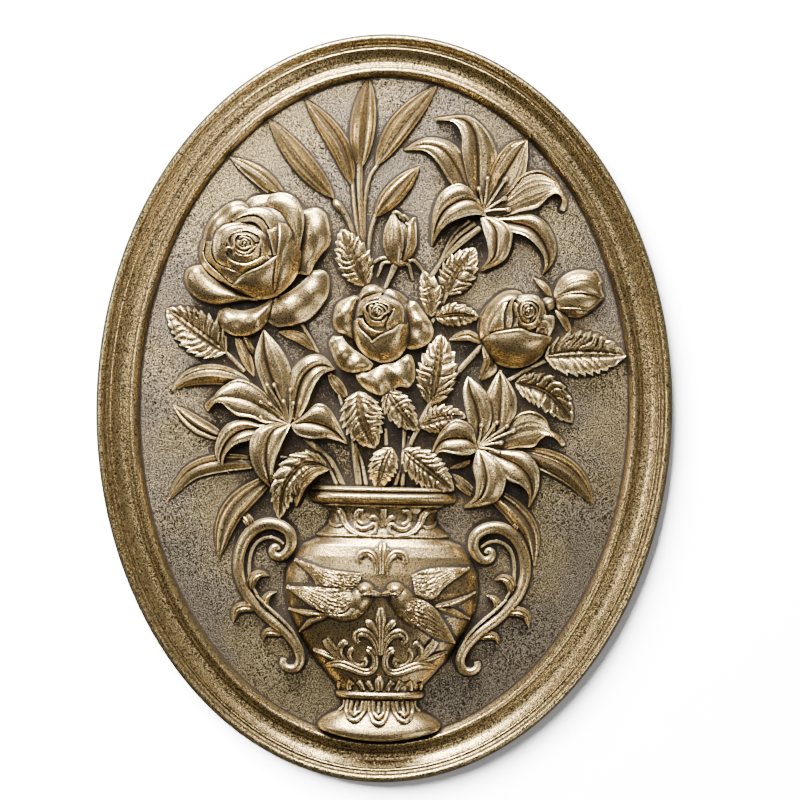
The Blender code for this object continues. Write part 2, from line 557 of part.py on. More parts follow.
def urn_ornament():
    """Palmette and scrolls on the belly, lily crest on the shoulder, scrolls on the neck, petals and loops."""
    middles = [
        [(0.3, -131, 0.9), (0.3, -118, 1.7), (0.3, -107, 2.3)],
        [(0.5, -87.5, 1.5), (0.5, -79, 1.6), (0.5, -72.5, 2.0)],
        [(0.7, -64.5, 1.0), (0.7, -59, 1.1), (0.7, -54, 1.2)],
        [(0.3, -150, 1.7), (0.3, -146.5, 1.9), (0.3, -143, 0.9)],
    ]
    short_pairs = [
        [(-1, -121.5, 1.0), (-3.2, -116, 1.5), (-7, -113.8, 1.6)],
        [(-17, -136, 1.0), (-23.5, -130.5, 1.5), (-28.5, -123.5, 1.9)],
        [(-17, -135.5, 0.9), (-20.8, -130, 1.5), (-19.4, -125, 1.7)],
        [(-20, -135, 0.9), (-28, -131.8, 1.3), (-34.5, -129.8, 1.2)],
        [(-0.8, -81, 0.8), (-2.0, -77.5, 1.0), (-3.5, -75, 1.0)],
        [(-3.6, -150, 1.0), (-4.6, -147.5, 1.2), (-6, -145.5, 1.2)],
        [(-8.2, -150, 1.0), (-9.4, -147.5, 1.2), (-11, -145.5, 1.2)],
        [(-15.8, -150, 1.1), (-15.9, -147.5, 1.3), (-15, -145.8, 1.3)],
        [(-20.6, -150, 1.1), (-21.2, -148, 1.1), (-21, -146.4, 1.1)],
    ]
    long_pairs = [
        [(-1.2, -129, 0.9), (-4, -121.5, 1.5), (-8.5, -118.4, 2.0), (-12.4, -120.5, 1.6), (-11, -124, 1.2)],
        [(-30, -137.4, 1.0), (-23, -135.6, 1.7), (-15, -138.2, 1.7), (-8, -140.9, 1.6), (-3.6, -138.6, 1.5),
         (-2.4, -133.5, 1.5), (-4, -129.6, 1.5), (-7, -128.2, 1.4)],
        [(-8.2, -132, 1.2), (-7.7, -135.2, 1.1), (-11, -136.4, 1.1), (-15, -133.6, 1.2), (-15.5, -129, 1.3)],
        [(-2.6, -88, 0.9), (-2.7, -81.5, 1.2), (-6.5, -76.8, 1.5), (-11, -78.4, 1.4), (-10.8, -81.5, 1.0)],
        [(-10.5, -54.5, 0.9), (-14, -57.5, 1.0), (-13.6, -62.2, 1.1), (-8.5, -64.3, 1.2), (-4, -62, 1.0)],
        [(-28.5, -53.6, 1.2), (-22, -55, 1.3), (-19.5, -60.5, 1.2), (-15.5, -66.2, 1.0), (-9.5, -67, 0.8)],
    ]
    forms = [bar(on_urn(knots, -0.6), rows=4) for knots in middles]
    forms += both_sides(short_pairs, rows=4)
    forms += both_sides(long_pairs, rows=8)
    for loop_x, lean in ((-11.3, -1.6), (0.0, 0.0), (11.9, 1.6)):
        loop = [
            (loop_x - 4.6, -156.5, 1.2),
            (loop_x - 4.8 + lean, -161.5, 1.2),
            (loop_x + lean, -166, 1.2),
            (loop_x + 4.8 + lean, -161.5, 1.2),
            (loop_x + 4.6, -156.5, 1.2),
        ]
        drop = [(loop_x, -156.5, 1.6), (loop_x + lean, -162.5, 1.6)]
        forms.append(bar(on_urn(loop, -0.4), rows=9))
        forms.append(bar(on_urn(drop, -0.4), rows=4))
    return forms


def handle():
    """Left handle: a scroll that rises from the urn's shoulder, arches over and curls up at the bottom."""
    scroll = [
        (-55.4, -76.2, 6, 1.4), (-57.4, -75.6, 6, 1.7), (-57.9, -78.4, 6, 2.0), (-54.6, -80, 6, 2.2),
        (-50.4, -77.8, 7, 2.4), (-48, -72, 8, 2.7), (-50, -66, 8, 3.0), (-56, -63, 7, 3.0), (-63.5, -63.4, 6, 3.0),
        (-70.5, -68.2, 5, 2.9), (-75, -76, 4, 2.8), (-76.4, -86, 4, 2.6), (-74.2, -96, 4, 2.5),
        (-68.5, -105, 4, 2.5), (-60.5, -112.8, 4, 2.5), (-51.5, -119.5, 5, 2.4), (-45, -127, 6, 2.5),
        (-42.4, -134, 6, 2.5), (-44.4, -139, 5, 2.3), (-49, -139.8, 5, 2.0), (-51.4, -137, 5, 1.9),
        (-50.8, -134.6, 5, 1.7),
    ]
    leaflets = [
        ([(-71, -66.5, 3), (-71.6, -61.5, 4), (-76.2, -56.8, 2)], 2.6),
        ([(-69, -100, 3), (-68, -91.8, 5), (-60, -90.4, 3)], 2.8),
        ([(-60.5, -112, 3), (-61.6, -104, 5), (-56.5, -99.2, 3)], 2.4),
        ([(-65.5, -111, 3), (-73.5, -108.2, 5), (-78.6, -115.5, 3)], 2.6),
        ([(-51.5, -122.5, 4), (-60, -120.8, 5), (-62, -125, 3)], 2.0),
    ]
    return scroll, leaflets


def handles():
    """Both handles with their leaflets."""
    scroll, leaflets = handle()
    forms = []
    for turn in (lambda knots: knots, mirrored):
        forms.append(bar(turn(scroll), rows=SCROLL_ROWS))
        for knots, half_width in leaflets:
            forms.append(leaf(turn(knots), half_width, dome=1.4, groove=0.5, rows=6))
    return forms


def bird(head, beak, body, wings, tails):
    """Swallow laid on the urn: head and body are mounds, each wing lies between its two edges."""
    forms = [
        mound(*body),
        mound(*head),
        bar(beak, rows=3),
    ]
    for upper, lower, root_rise, lift in wings:
        forms.append(fold(upper, lower, root_rise, root_rise, bulge=lift, rows=7))
    for tail in tails:
        forms.append(leaf(tail, TAIL_HALF_WIDTH, dome=1.0, groove=0, rows=5))
    return forms


def birds():
    """Two swallows that touch beaks in front of the urn."""
    left = bird(
        head=(-8, -97.2, 5.6, 4.6, 15, 28, 5),
        beak=[(-4.5, -97.6, 22, 1.5), (-0.4, -98.4, 21.5, 0.5)],
        body=(-16, -104, 13.5, 7.4, 15, 26, 30),
        wings=[
            ([(-10.5, -88), (-19, -87), (-30, -86), (-38, -83), (-45.5, -80.8)],
             [(-11, -95), (-20, -96), (-33, -95), (-38, -89), (-45.5, -81.6)], 20, 2.4),
            ([(-14, -96), (-25, -96), (-38, -95.4), (-50.5, -95.5)],
             [(-14, -108), (-24, -109), (-36, -104), (-50.5, -96.5)], 21, 2.6),
        ],
        tails=[
            [(-25, -108, 18), (-38, -109, 17), (-49.5, -107.6, 12)],
            [(-25, -109, 18), (-35, -112, 17.5), (-43.5, -120, 14)],
        ],
    )
    right = bird(
        head=(7.8, -97, 5.8, 4.8, 15, 28, -8),
        beak=[(5, -97.6, 22, 1.5), (0.9, -98.4, 21.5, 0.5)],
        body=(16, -104.5, 14, 7.0, 15, 26, -38),
        wings=[
            ([(16.5, -88), (24, -85), (34, -84), (47, -84)],
             [(20, -100), (27, -100), (34, -94), (47, -84.8)], 20, 2.4),
            ([(13, -101), (25, -102), (33, -111), (40, -123)],
             [(11, -107), (16, -116), (28, -121), (40, -124.4)], 21, 2.6),
        ],
        tails=[
            [(26, -103.5, 18), (38, -102.5, 18), (50.5, -97, 12)],
            [(26, -104.5, 18), (37, -107, 18), (48, -111.5, 13)],
        ],
    )
    return left + right


def oval(inset, depth):
    """One ring of the frame, at an even distance inside the plaque's edge."""
    half_width = PLAQUE_WIDTH / 2
    half_height = PLAQUE_HEIGHT / 2
    points = []
    for segment in range(OVAL_SEGMENTS):
        angle = 2 * math.pi * segment / OVAL_SEGMENTS
        edge_x = half_width * math.cos(angle)
        edge_z = half_height * math.sin(angle)
        normal_x = math.cos(angle) / half_width
        normal_z = math.sin(angle) / half_height
        length = math.hypot(normal_x, normal_z)
        points.append((edge_x - inset * normal_x / length, -depth, edge_z - inset * normal_z / length))
    return points


def frame_profile():
    """Frame's section from the back edge in to the field: distance inside the edge, distance off the wall."""
    rim_top = RIM_THICKNESS
    groove_floor = rim_top - RIM_SHOULDER
    cove_start = RIM_WIDTH + GROOVE_WIDTH
    cove_top = groove_floor + GROOVE_DEPTH
    cove_end = cove_start + COVE_WIDTH
    cove_low = cove_top - COVE_FALL
    bead_start = cove_end + GROOVE_WIDTH
    bead_end = bead_start + BEAD_WIDTH
    return [
        (EDGE_CHAMFER, 0.0),
        (0.0, EDGE_CHAMFER),
        (0.0, rim_top - RIM_SHOULDER),
        (0.22 * RIM_WIDTH, rim_top - 0.28 * RIM_SHOULDER),
        (0.52 * RIM_WIDTH, rim_top),
        (0.82 * RIM_WIDTH, rim_top - 0.3 * RIM_SHOULDER),
        (RIM_WIDTH, groove_floor),
        (cove_start, cove_top),
        (cove_start + 0.35 * COVE_WIDTH, cove_top - 0.62 * COVE_FALL),
        (cove_start + 0.7 * COVE_WIDTH, cove_low + 0.04 * COVE_FALL),
        (cove_end, cove_low + 0.1 * COVE_FALL),
        (cove_end + 0.5 * GROOVE_WIDTH, cove_low - 0.4 * GROOVE_DEPTH),
        (bead_start, cove_low),
        (bead_start + 0.25 * BEAD_WIDTH, BEAD_THICKNESS - 0.1 * (BEAD_THICKNESS - FIELD_THICKNESS)),
        (bead_start + 0.5 * BEAD_WIDTH, BEAD_THICKNESS),
        (bead_start + 0.8 * BEAD_WIDTH, BEAD_THICKNESS - 0.3 * (BEAD_THICKNESS - FIELD_THICKNESS)),
        (bead_end, FIELD_THICKNESS),
    ]


def plate():
    """Frame and field as one closed mesh."""
    rings = [oval(inset, depth) for inset, depth in frame_profile()]
    points = [point for ring in rings for point in ring]
    faces = [tuple(range(OVAL_SEGMENTS))]
    for ring in range(len(rings) - 1):
        for segment in range(OVAL_SEGMENTS):
            after = (segment + 1) % OVAL_SEGMENTS
            low = ring * OVAL_SEGMENTS
            high = low + OVAL_SEGMENTS
            faces.append((low + segment, high + segment, high + after, low + after))
    last = (len(rings) - 1) * OVAL_SEGMENTS
    faces.append(tuple(last + segment for segment in reversed(range(OVAL_SEGMENTS))))
    return points, faces


def pillar(grid, root_depth):
    """Closed solid under a grid of drawn points, its sides straight down into the plate."""
    rows = len(grid)
    columns = len(grid[0])
    points = [place(*point) for line in grid for point in line]
    root = len(points)
    for line in grid:
        for x, z, _ in (line[0], line[-1]):
            points.append((x * ACROSS, -root_depth, z * UP))
    faces = []
    for row in range(rows - 1):
        here = row * columns
        there = here + columns
        for column in range(columns - 1):
            faces.append((here + column, here + column + 1, there + column + 1, there + column))
        left = root + 2 * row
        faces.append((here, there, left + 2, left))
        faces.append((there + columns - 1, here + columns - 1, left + 1, left + 3))
        faces.append((left, left + 2, left + 3, left + 1))
    last = (rows - 1) * columns
    end = root + 2 * (rows - 1)
    faces.append((*range(columns - 1, -1, -1), root, root + 1))
    faces.append((*range(last, last + columns), end + 1, end))
    return points, faces


def facing_out(points, faces):
    """The faces as they are, or all turned over if they enclose a negative volume."""
    volume = 0.0
    for face in faces:
        first = points[face[0]]
        for second, third in zip(face[1:], face[2:]):
            a, b, c = first, points[second], points[third]
            volume += a[0] * (b[1] * c[2] - b[2] * c[1])
            volume += a[1] * (b[2] * c[0] - b[0] * c[2])
            volume += a[2] * (b[0] * c[1] - b[1] * c[0])
    if volume < 0:
        return [tuple(reversed(face)) for face in faces]
    return faces


def new_object(name, points, faces):
    """Object with a mesh of these points and faces."""
    mesh = bpy.data.meshes.new(name)
    mesh.from_pydata(points, [], facing_out(points, faces))
    mesh.validate()
    made = bpy.data.objects.new(name, mesh)
    bpy.context.scene.collection.objects.link(made)
    return made


def bronze():
    """Antique bronze finish."""
    material = bpy.data.materials.new("antique_bronze")
    material.use_nodes = True
    shader = material.node_tree.nodes["Principled BSDF"]
    shader.inputs["Base Color"].default_value = BRONZE
    shader.inputs["Roughness"].default_value = BRONZE_ROUGHNESS
    shader.inputs["Metallic"].default_value = BRONZE_METALLIC
    return material


def raised_forms():
    """Every raised form's grid, from the background forward."""
    forms = fan_leaves() + stalks() + toothed_leaves()
    forms += left_lily() + top_lily() + right_lily()
    forms += stamens(-50.5, -9.5, 9, [(-65, 2), (-62, 11), (-58.5, 11), (-50.5, 9), (-53.5, 2.5), (-48.5, 1.5)])
    forms += stamens(51, 106, 8, [(48.5, 117.5), (53, 123), (62, 123), (62, 113), (64, 107)])
    forms += stamens(50, -20, 9, [(52, -8.5), (60, -7), (65.5, -8.5), (68.5, -11), (62.5, -17.5)])
    forms += big_rose() + small_rose() + opening_rose() + buds()
    forms += [urn()] + urn_ornament() + handles() + birds()
    return forms


def bake(plaque):
    """Fix the plaque's mesh as its modifiers leave it."""
    graph = bpy.context.evaluated_depsgraph_get()
    mesh = bpy.data.meshes.new_from_object(plaque.evaluated_get(graph))
    plaque.modifiers.clear()
    plaque.data = mesh


def grow_together(plaque, tools):
    """Unite the plate with the raised forms."""
    union = plaque.modifiers.new("grown_together", "BOOLEAN")
    union.operation = "UNION"
    union.operand_type = "COLLECTION"
    union.collection = tools
    union.solver = "EXACT"
    bake(plaque)
    for tool in list(tools.objects):
        bpy.data.objects.remove(tool)


def corner(point):
    """A point's place to the nearest micrometre."""
    return tuple(round(value * 1e6) for value in point)


def thin_out(plaque, kept_points):
    """Thin the faces out, all but those at the kept points, and leave one closed mesh."""
    kept = {corner(point) for point in kept_points}
    fixed = plaque.vertex_groups.new(name="kept")
    fixed.add([vertex.index for vertex in plaque.data.vertices if corner(vertex.co) in kept], 1.0, "REPLACE")
    thinning = plaque.modifiers.new("thinned_out", "DECIMATE")
    thinning.vertex_group = fixed.name
    thinning.invert_vertex_group = True
    thinning.ratio = KEPT_SHARE
    bake(plaque)
    shape = bmesh.new()
    shape.from_mesh(plaque.data)
    flaps = [face for face in shape.faces if any(edge.is_boundary for edge in face.edges)]
    bmesh.ops.delete(shape, geom=flaps, context="FACES")
    shape.to_mesh(plaque.data)
    shape.free()


def build():
    """One cast piece: the plate with every raised form grown together with it."""
    for old in list(bpy.data.objects):
        bpy.data.objects.remove(old)
    plate_points, plate_faces = plate()
    plaque = new_object("plaque", plate_points, plate_faces)
    tools = bpy.data.collections.new("raised_forms")
    bpy.context.scene.collection.children.link(tools)
    for index, grid in enumerate(raised_forms()):
        root_depth = FIELD_THICKNESS * ROOT_SHARE + index * ROOT_STEP
        tool = new_object(f"form_{index:03d}", *pillar(grid, root_depth))
        bpy.context.scene.collection.objects.unlink(tool)
        tools.objects.link(tool)
    grow_together(plaque, tools)
    bird_points = [place(*point) for grid in birds() for line in grid for point in line]
    thin_out(plaque, plate_points + bird_points)
    plaque.data.materials.clear()
    plaque.data.materials.append(bronze())
    plaque.data.shade_smooth()
    plaque.data.set_sharp_from_angle(angle=SMOOTH_ANGLE)


build()
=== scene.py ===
"""Looks of the oval wall plaque: every leaf, petal, feather and moulding as mesh, in antique bronze.

The relief is drawn in the same small units as the solid: a 400th of its height up and down, a 308th of its
width across, and rises from the front of the field in units of which RELIEF_UNITS make the relief's depth.
A knot is a point of a drawn line: (x, z, rise), and for a bar its radius as well. A knot that leaves out its
last numbers keeps those of the knot before it.
"""
import json
import math

import bpy
import numpy as np
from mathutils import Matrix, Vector

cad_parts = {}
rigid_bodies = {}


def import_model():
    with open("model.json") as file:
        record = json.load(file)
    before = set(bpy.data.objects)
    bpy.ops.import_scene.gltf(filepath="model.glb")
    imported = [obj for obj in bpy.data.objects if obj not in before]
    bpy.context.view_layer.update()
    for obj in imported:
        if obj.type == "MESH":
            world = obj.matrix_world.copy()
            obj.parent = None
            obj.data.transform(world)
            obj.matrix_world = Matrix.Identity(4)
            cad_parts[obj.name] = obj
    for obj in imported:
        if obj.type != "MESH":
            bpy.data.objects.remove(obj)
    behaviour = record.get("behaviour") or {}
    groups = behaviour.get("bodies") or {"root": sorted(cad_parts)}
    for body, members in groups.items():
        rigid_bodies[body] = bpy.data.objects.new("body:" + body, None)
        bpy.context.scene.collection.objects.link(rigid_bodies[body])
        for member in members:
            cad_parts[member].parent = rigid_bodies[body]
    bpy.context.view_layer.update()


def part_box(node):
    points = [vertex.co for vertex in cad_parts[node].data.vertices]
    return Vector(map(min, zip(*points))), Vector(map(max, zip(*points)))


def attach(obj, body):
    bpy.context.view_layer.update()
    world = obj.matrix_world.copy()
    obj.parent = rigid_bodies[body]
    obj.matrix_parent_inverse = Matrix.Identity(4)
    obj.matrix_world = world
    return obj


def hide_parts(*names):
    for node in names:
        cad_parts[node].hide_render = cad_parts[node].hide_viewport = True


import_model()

# The drawing's own units, and the solid's driving sizes that the frame doesn't state
UNITS_UP = 400
UNITS_ACROSS = 308
RELIEF_UNITS = 25
FIELD_THICKNESS = 0.006
RELIEF_DEPTH = 0.025
low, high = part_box("plaque")
UP = (high[2] - low[2]) / UNITS_UP
ACROSS = (high[0] - low[0]) / UNITS_ACROSS
OUT = RELIEF_DEPTH / RELIEF_UNITS
MILLIMETRE = 0.001

# How finely the relief is cut, in drawn units
STEP = 0.62
LONG_LEAF_STEP = 0.5
LEAF_ROW_STEP = 0.36
LEAF_COLUMN_STEP = 0.45
BAR_STEP = 0.55
WING_STEP = 0.4
URN_STEP = 0.3
FIELD_STEP = 1.2
SPANS_PER_KNOT = 12

# Sides of every form: they go down to a root just under the field's front, tucked in as they go
ROOT_RISE = -3.0
TUCK_STAGES = ((0.15, 1.0), (0.7, 2.2), (1.0, math.inf))
MOST_TUCK = 0.3

BODY = "root"


def filled(knots):
    """Knots as rows of numbers, each with what it leaves out taken from the knot before it."""
    rows = [tuple(knots[0])]
    for knot in knots[1:]:
        rows.append((*knot, *rows[-1][len(knot):]))
    return np.array(rows, float)


def smooth_line(knots, count):
    """Smooth line through the knots, read at evenly spaced places along it."""
    knots = filled(knots)
    padded = np.vstack([knots[:1], knots, knots[-1:]])
    t = np.linspace(0, 1, SPANS_PER_KNOT, endpoint=False)[:, None]
    spans = []
    for before, start, end, after in zip(padded, padded[1:], padded[2:], padded[3:]):
        slope_in = (end - before) / 2
        slope_out = (after - start) / 2
        spans.append(
            (2 * t**3 - 3 * t**2 + 1) * start
            + (t**3 - 2 * t**2 + t) * slope_in
            + (3 * t**2 - 2 * t**3) * end
            + (t**3 - t**2) * slope_out
        )
    dense = np.vstack([*spans, knots[-1:]])
    steps = np.hypot(*np.diff(dense[:, :2], axis=0).T)
    reach = np.concatenate([[0], np.cumsum(steps)])
    wanted = np.linspace(0, reach[-1], count)
    return np.stack([np.interp(wanted, reach, column) for column in dense.T], axis=1)


def length_of(knots):
    """Length of a line of knots on the drawing."""
    return float(np.hypot(*np.diff(filled(knots)[:, :2], axis=0).T).sum())


def sideways(line):
    """Unit vectors to the left of a line, one at each of its points."""
    run = np.gradient(line[:, :2], axis=0)
    run /= np.maximum(np.hypot(run[:, 0], run[:, 1]), 1e-9)[:, None]
    return np.stack([-run[:, 1], run[:, 0]], axis=1)


def steps_in(length, step, fewest, most):
    """Rows or columns that a length takes, within limits."""
    return int(np.clip(length / step, fewest, most))


def row_count(knots):
    """Rows that a leaf or petal of this length takes."""
    return steps_in(length_of(knots), STEP, 10, 110)


def spaced(count):
    """Places from -1 to 1 across a form, closer together towards its edges."""
    return np.sin(np.linspace(-np.pi / 2, np.pi / 2, count))


def between(start, end, share):
    """Grid between two lines, at the given shares of the way from one to the other."""
    return start[:, None, :] * (1 - share)[None, :, None] + end[:, None, :] * share[None, :, None]


def bump(values, middle, width):
    """Smooth hump of height 1."""
    return np.exp(-((values - middle) / width) ** 2)


def swelling(rows, sharp, least):
    """Swell from the least share at a form's first row to 1 in the middle and back."""
    return np.maximum(np.sin(np.pi * np.linspace(0.0, 1.0, rows)) ** sharp, least)


def outline(share, base, tip):
    """Width of a leaf along its length, at most 1: round at its base, pointed at its tip."""
    peak = base / (base + tip)
    return (share / peak) ** base * ((1 - share) / (1 - peak)) ** tip


class Clay:
    """Gathers the closed forms of one piece, and makes one mesh of them."""

    made = []

    def __init__(self, name):
        self.name = name
        self.points = []
        self.faces = []
        self.count = 0
        self.tops = []
        Clay.made.append(self)

    def add(self, points, faces):
        """Take in points of (x, z, rise) and faces of four of them, turned to look outward."""
        far_below = np.array([points[:, 0].mean(), points[:, 1].mean(), -1000.0])
        arms = points[faces] - far_below
        areas = np.cross(arms[:, 1], arms[:, 2]) + np.cross(arms[:, 2], arms[:, 3])
        if np.einsum("ij,ij->i", arms[:, 0], areas).sum() < 0:
            faces = faces[:, ::-1]
        self.points.append(points)
        self.faces.append(faces + self.count)
        self.count += len(points)

    def form(self, top, tuck=1.2, lip=0.7):
        """Close a grid of drawn points into a solid form, its sides tucked in under its edges."""
        rows, columns, _ = top.shape
        left = top[:, 0]
        right = top[:, -1]
        across = right[:, :2] - left[:, :2]
        width = np.maximum(np.hypot(across[:, 0], across[:, 1]), 1e-6)
        inward = across / width[:, None]
        depth = np.minimum(tuck, MOST_TUCK * width)

        def side(edge, direction):
            points = []
            for share, lips in TUCK_STAGES:
                point = edge.copy()
                point[:, :2] += direction * (depth * share)[:, None]
                point[:, 2] = np.maximum(point[:, 2] - lips * lip, ROOT_RISE)
                points.append(point)
            return points

        ring = [top[:, column] for column in range(columns)]
        ring += side(right, -inward)
        ring += side(left, inward)[::-1]
        around = len(ring)
        points = np.stack(ring, axis=1).reshape(-1, 3)
        index = np.arange(rows * around).reshape(rows, around)
        after = np.roll(index, -1, axis=1)
        quads = np.stack([index[:-1], after[:-1], after[1:], index[1:]], axis=-1).reshape(-1, 4)
        caps = []
        for row, turn in ((0, 1), (rows - 1, -1)):
            for step in range(around // 2 - 1):
                quad = [index[row, step], index[row, around - 1 - step],
                        index[row, around - 2 - step], index[row, step + 1]]
                caps.append(quad[::turn])
        self.add(points, np.vstack([quads, caps]))
        self.tops.append(top)


# Forms, each a grid of (x, z, rise)

def lengthwise(centre, width, across):
    """Grid around a centre line: its points pushed sideways by across times the width at each row."""
    left = sideways(centre)
    grid = np.zeros((len(centre), len(across), 3))
    offset = width[:, None] * across[None, :]
    grid[:, :, 0] = centre[:, :1] + left[:, :1] * offset
    grid[:, :, 1] = centre[:, 1:2] + left[:, 1:2] * offset
    grid[:, :, 2] = centre[:, 2:3]
    return grid


# Narrowest half width of a leaf, at its tips
THINNEST = 0.3
# Section of a long leaf, from -1 at one edge to 1 at the other: widths, and places with widths
VALLEY_WIDTH = 0.24
RIB_WIDTH = 0.06
RIM_AT = (0.92, 0.06)
CHANNEL_AT = (0.76, 0.09)
RIDGE_AT = (0.42, 0.09)
CHANNEL = 0.8
RIDGE = 0.6
LONG_LEAF_TIP = 0.85


def blade(clay, knots, half_width, dome=3.7, valley=3.0, rim=0.8, rib=1.1, base=0.75, lean=0.0):
    """Long leaf: two lobes beside a valley, fine ridges along them, and a thin raised rim along each edge."""
    rows = row_count(knots)
    centre = smooth_line(knots, rows)
    spread = outline(np.linspace(0, 1, rows), base, LONG_LEAF_TIP)
    u = spaced(steps_in(2 * half_width, LONG_LEAF_STEP, 17, 37))
    grid = lengthwise(centre, np.maximum(half_width * spread, THINNEST), u)
    crown = dome * (1 - u**2) - valley * bump(u, lean, VALLEY_WIDTH) + rib * bump(u, lean, RIB_WIDTH)
    crown += rim * bump(np.abs(u), *RIM_AT) - CHANNEL * bump(np.abs(u), *CHANNEL_AT)
    crown += RIDGE * bump(np.abs(u - lean), *RIDGE_AT)
    grid[:, :, 2] += crown[None, :] * np.maximum(spread, 0.12)[:, None]
    clay.form(grid)


# Veins of a rose leaf: how far they slant forward, how far one half's are ahead, and their width
VEIN_SLANT = 0.17
VEINS_AHEAD = 0.4
VEIN_WIDTH = 0.13
VEIN_DEPTH = 0.7
MIDRIB = 0.9
MIDRIB_WIDTH = 0.05
MIDRIB_GROOVE = 1.3
MIDRIB_GROOVE_AT = (0.13, 0.07)
LEAF_BASE = 0.6
LEAF_TIP = 0.8
LEAF_LIP = 0.6
# Teeth: their share of the half width, how far they point ahead, and where each half's start
TOOTH_SHARE = 0.26
TOOTH_AHEAD = 0.7
TOOTH_STARTS = ((-1, 0.35), (1, 0.75))
CURL = 0.5


def toothed(clay, knots, half_width, veins=8, dome=1.6, pleats=(1.3, 1.0), roof=0.0):
    """Rose leaf: pleated between its veins, one half more than the other, with teeth and a thin midrib."""
    rows = steps_in(length_of(knots), LEAF_ROW_STEP, 40, 130)
    centre = smooth_line(knots, rows)
    share = np.linspace(0, 1, rows)
    spread = outline(share, LEAF_BASE, LEAF_TIP)
    across = spaced(steps_in(2 * half_width, LEAF_COLUMN_STEP, 23, 43))
    grid = lengthwise(centre, np.maximum(half_width * spread, THINNEST), across)
    start_x, start_z = knots[0][:2]

    left = sideways(centre)
    ahead = np.stack([left[:, 1], -left[:, 0]], axis=1)
    for sign, start in TOOTH_STARTS:
        tooth = (veins * (share - VEIN_SLANT) + start + 0.22 * np.sin(9 * share + 3 * sign + start_x)) % 1.0
        weight = np.clip(sign * across, 0, 1) ** 3
        push = (half_width * spread * TOOTH_SHARE * (tooth - 0.5))[:, None] * weight[None, :]
        pull = (TOOTH_AHEAD * spread * tooth)[:, None] * weight[None, :]
        for axis in (0, 1):
            grid[:, :, axis] += sign * left[:, axis:axis + 1] * push + ahead[:, axis:axis + 1] * pull

    along = share[:, None]
    u = across[None, :]
    off = np.abs(u)
    uneven = 0.3 * np.sin(9 * along + 4 * u + start_x) + 0.14 * np.sin(23 * along + start_z)
    phase = veins * (along - VEIN_SLANT * off) + np.where(u > 0, VEINS_AHEAD, 0.0) + uneven
    beat = np.abs(np.sin(np.pi * phase)) ** 0.8
    vein = bump(np.abs(phase - np.round(phase)), 0, VEIN_WIDTH)
    pleat = np.where(u > 0, pleats[1], pleats[0]) * (0.75 + 0.25 * np.sin(11 * along + 2 * start_z))
    crown = dome * (1 - np.abs(2 * off**0.8 - 1) ** 2)
    crown = crown + pleat * (beat - 0.6) * np.clip(3 * off, 0, 1) * (0.3 + 0.7 * off)
    crown = crown - VEIN_DEPTH * vein * np.clip(4 * off, 0, 1) * np.clip(6 - 6 * off, 0, 1)
    crown = crown + MIDRIB * bump(u, 0, MIDRIB_WIDTH) - MIDRIB_GROOVE * bump(off, *MIDRIB_GROOVE_AT)
    crown = crown + roof * (0.5 - off) + CURL * off**2 * np.sin(9 * along + 4 * u)
    grid[:, :, 2] += crown * np.maximum(spread, 0.1)[:, None]
    clay.form(grid, lip=LEAF_LIP)


# Section of half a petal, from 0 at its middle line to 1 at its edge
PETAL_RIM_AT = (0.95, 0.06)
PETAL_CREASE_AT = (0.0, 0.07)
PETAL_CHANNEL_AT = (0.8, 0.06)
PETAL_CHANNEL = 0.35
STREAKS = 25


def petal(clay, left, mid, right, puff=2.2, rim=0.6, streak=0.10, crease=0.8):
    """Petal between two edges and a middle line."""
    rows = max(row_count(left), row_count(right), row_count(mid))
    lines = [smooth_line(line, rows) for line in (left, mid, right)]
    swell = swelling(rows, 0.5, 0.02)
    grids = []
    for number, (start, end) in enumerate(zip(lines, lines[1:])):
        width = np.hypot(*(end - start)[:, :2].T).max()
        share = (1 + spaced(steps_in(1.15 * width, STEP, 8, 24))) / 2
        half = between(start, end, share)
        outward = share if number else 1 - share
        crown = puff * np.sin(np.pi * share) ** 0.8 + rim * bump(outward, *PETAL_RIM_AT)
        crown += streak * np.cos(STREAKS * outward) * np.sin(np.pi * share)
        crown -= crease * bump(outward, *PETAL_CREASE_AT) + PETAL_CHANNEL * bump(outward, *PETAL_CHANNEL_AT)
        half[:, :, 2] += crown[None, :] * swell[:, None]
        grids.append(half[:, number:])
    clay.form(np.concatenate(grids, axis=1))


def fold(clay, outer, inner, bulge=2.0, lips=(0.5, 0.5), ripple=0.0, ripples=5, sharp=0.5):
    """Rose petal between two edges, swelling between them, with a thin lip along each."""
    rows = max(row_count(outer), row_count(inner))
    start = smooth_line(outer, rows)
    end = smooth_line(inner, rows)
    width = np.hypot(*(end - start)[:, :2].T).max()
    share = (1 + spaced(steps_in(1.2 * width, STEP, 9, 34))) / 2
    grid = between(start, end, share)
    lip_width = 0.8 / max(width, 1.6)
    lip_place = 0.7 * lip_width
    crown = bulge * np.sin(np.pi * share) ** 0.85
    crown += lips[0] * bump(share, lip_place, lip_width) + lips[1] * bump(share, 1 - lip_place, lip_width)
    along = np.linspace(0, 1, rows)[:, None]
    wave = np.cos(2 * np.pi * ripples * along + 1.2 * share) * (1 - share**2)
    grid[:, :, 2] += (crown + ripple * wave) * swelling(rows, sharp, 0.03)[:, None]
    clay.form(grid)


GROOVE_WIDTH = 0.2


def bar(clay, knots, groove=0.0, columns=13, fullness=1.0):
    """Rounded bar along a line, with a groove along its top if it has one."""
    line = smooth_line(knots, steps_in(length_of(knots), BAR_STEP, 7, 240))
    angle = np.linspace(-np.pi / 2, np.pi / 2, columns)
    grid = lengthwise(line[:, :3], line[:, 3], np.sin(angle))
    crown = np.cos(angle) ** fullness - groove * bump(np.sin(angle), 0, GROOVE_WIDTH)
    grid[:, :, 2] += line[:, 3:4] * crown[None, :]
    clay.form(grid, tuck=0.5, lip=0.5)


# Angle off a domed oval's length at which its first and last rows lie
DOME_START = 0.06


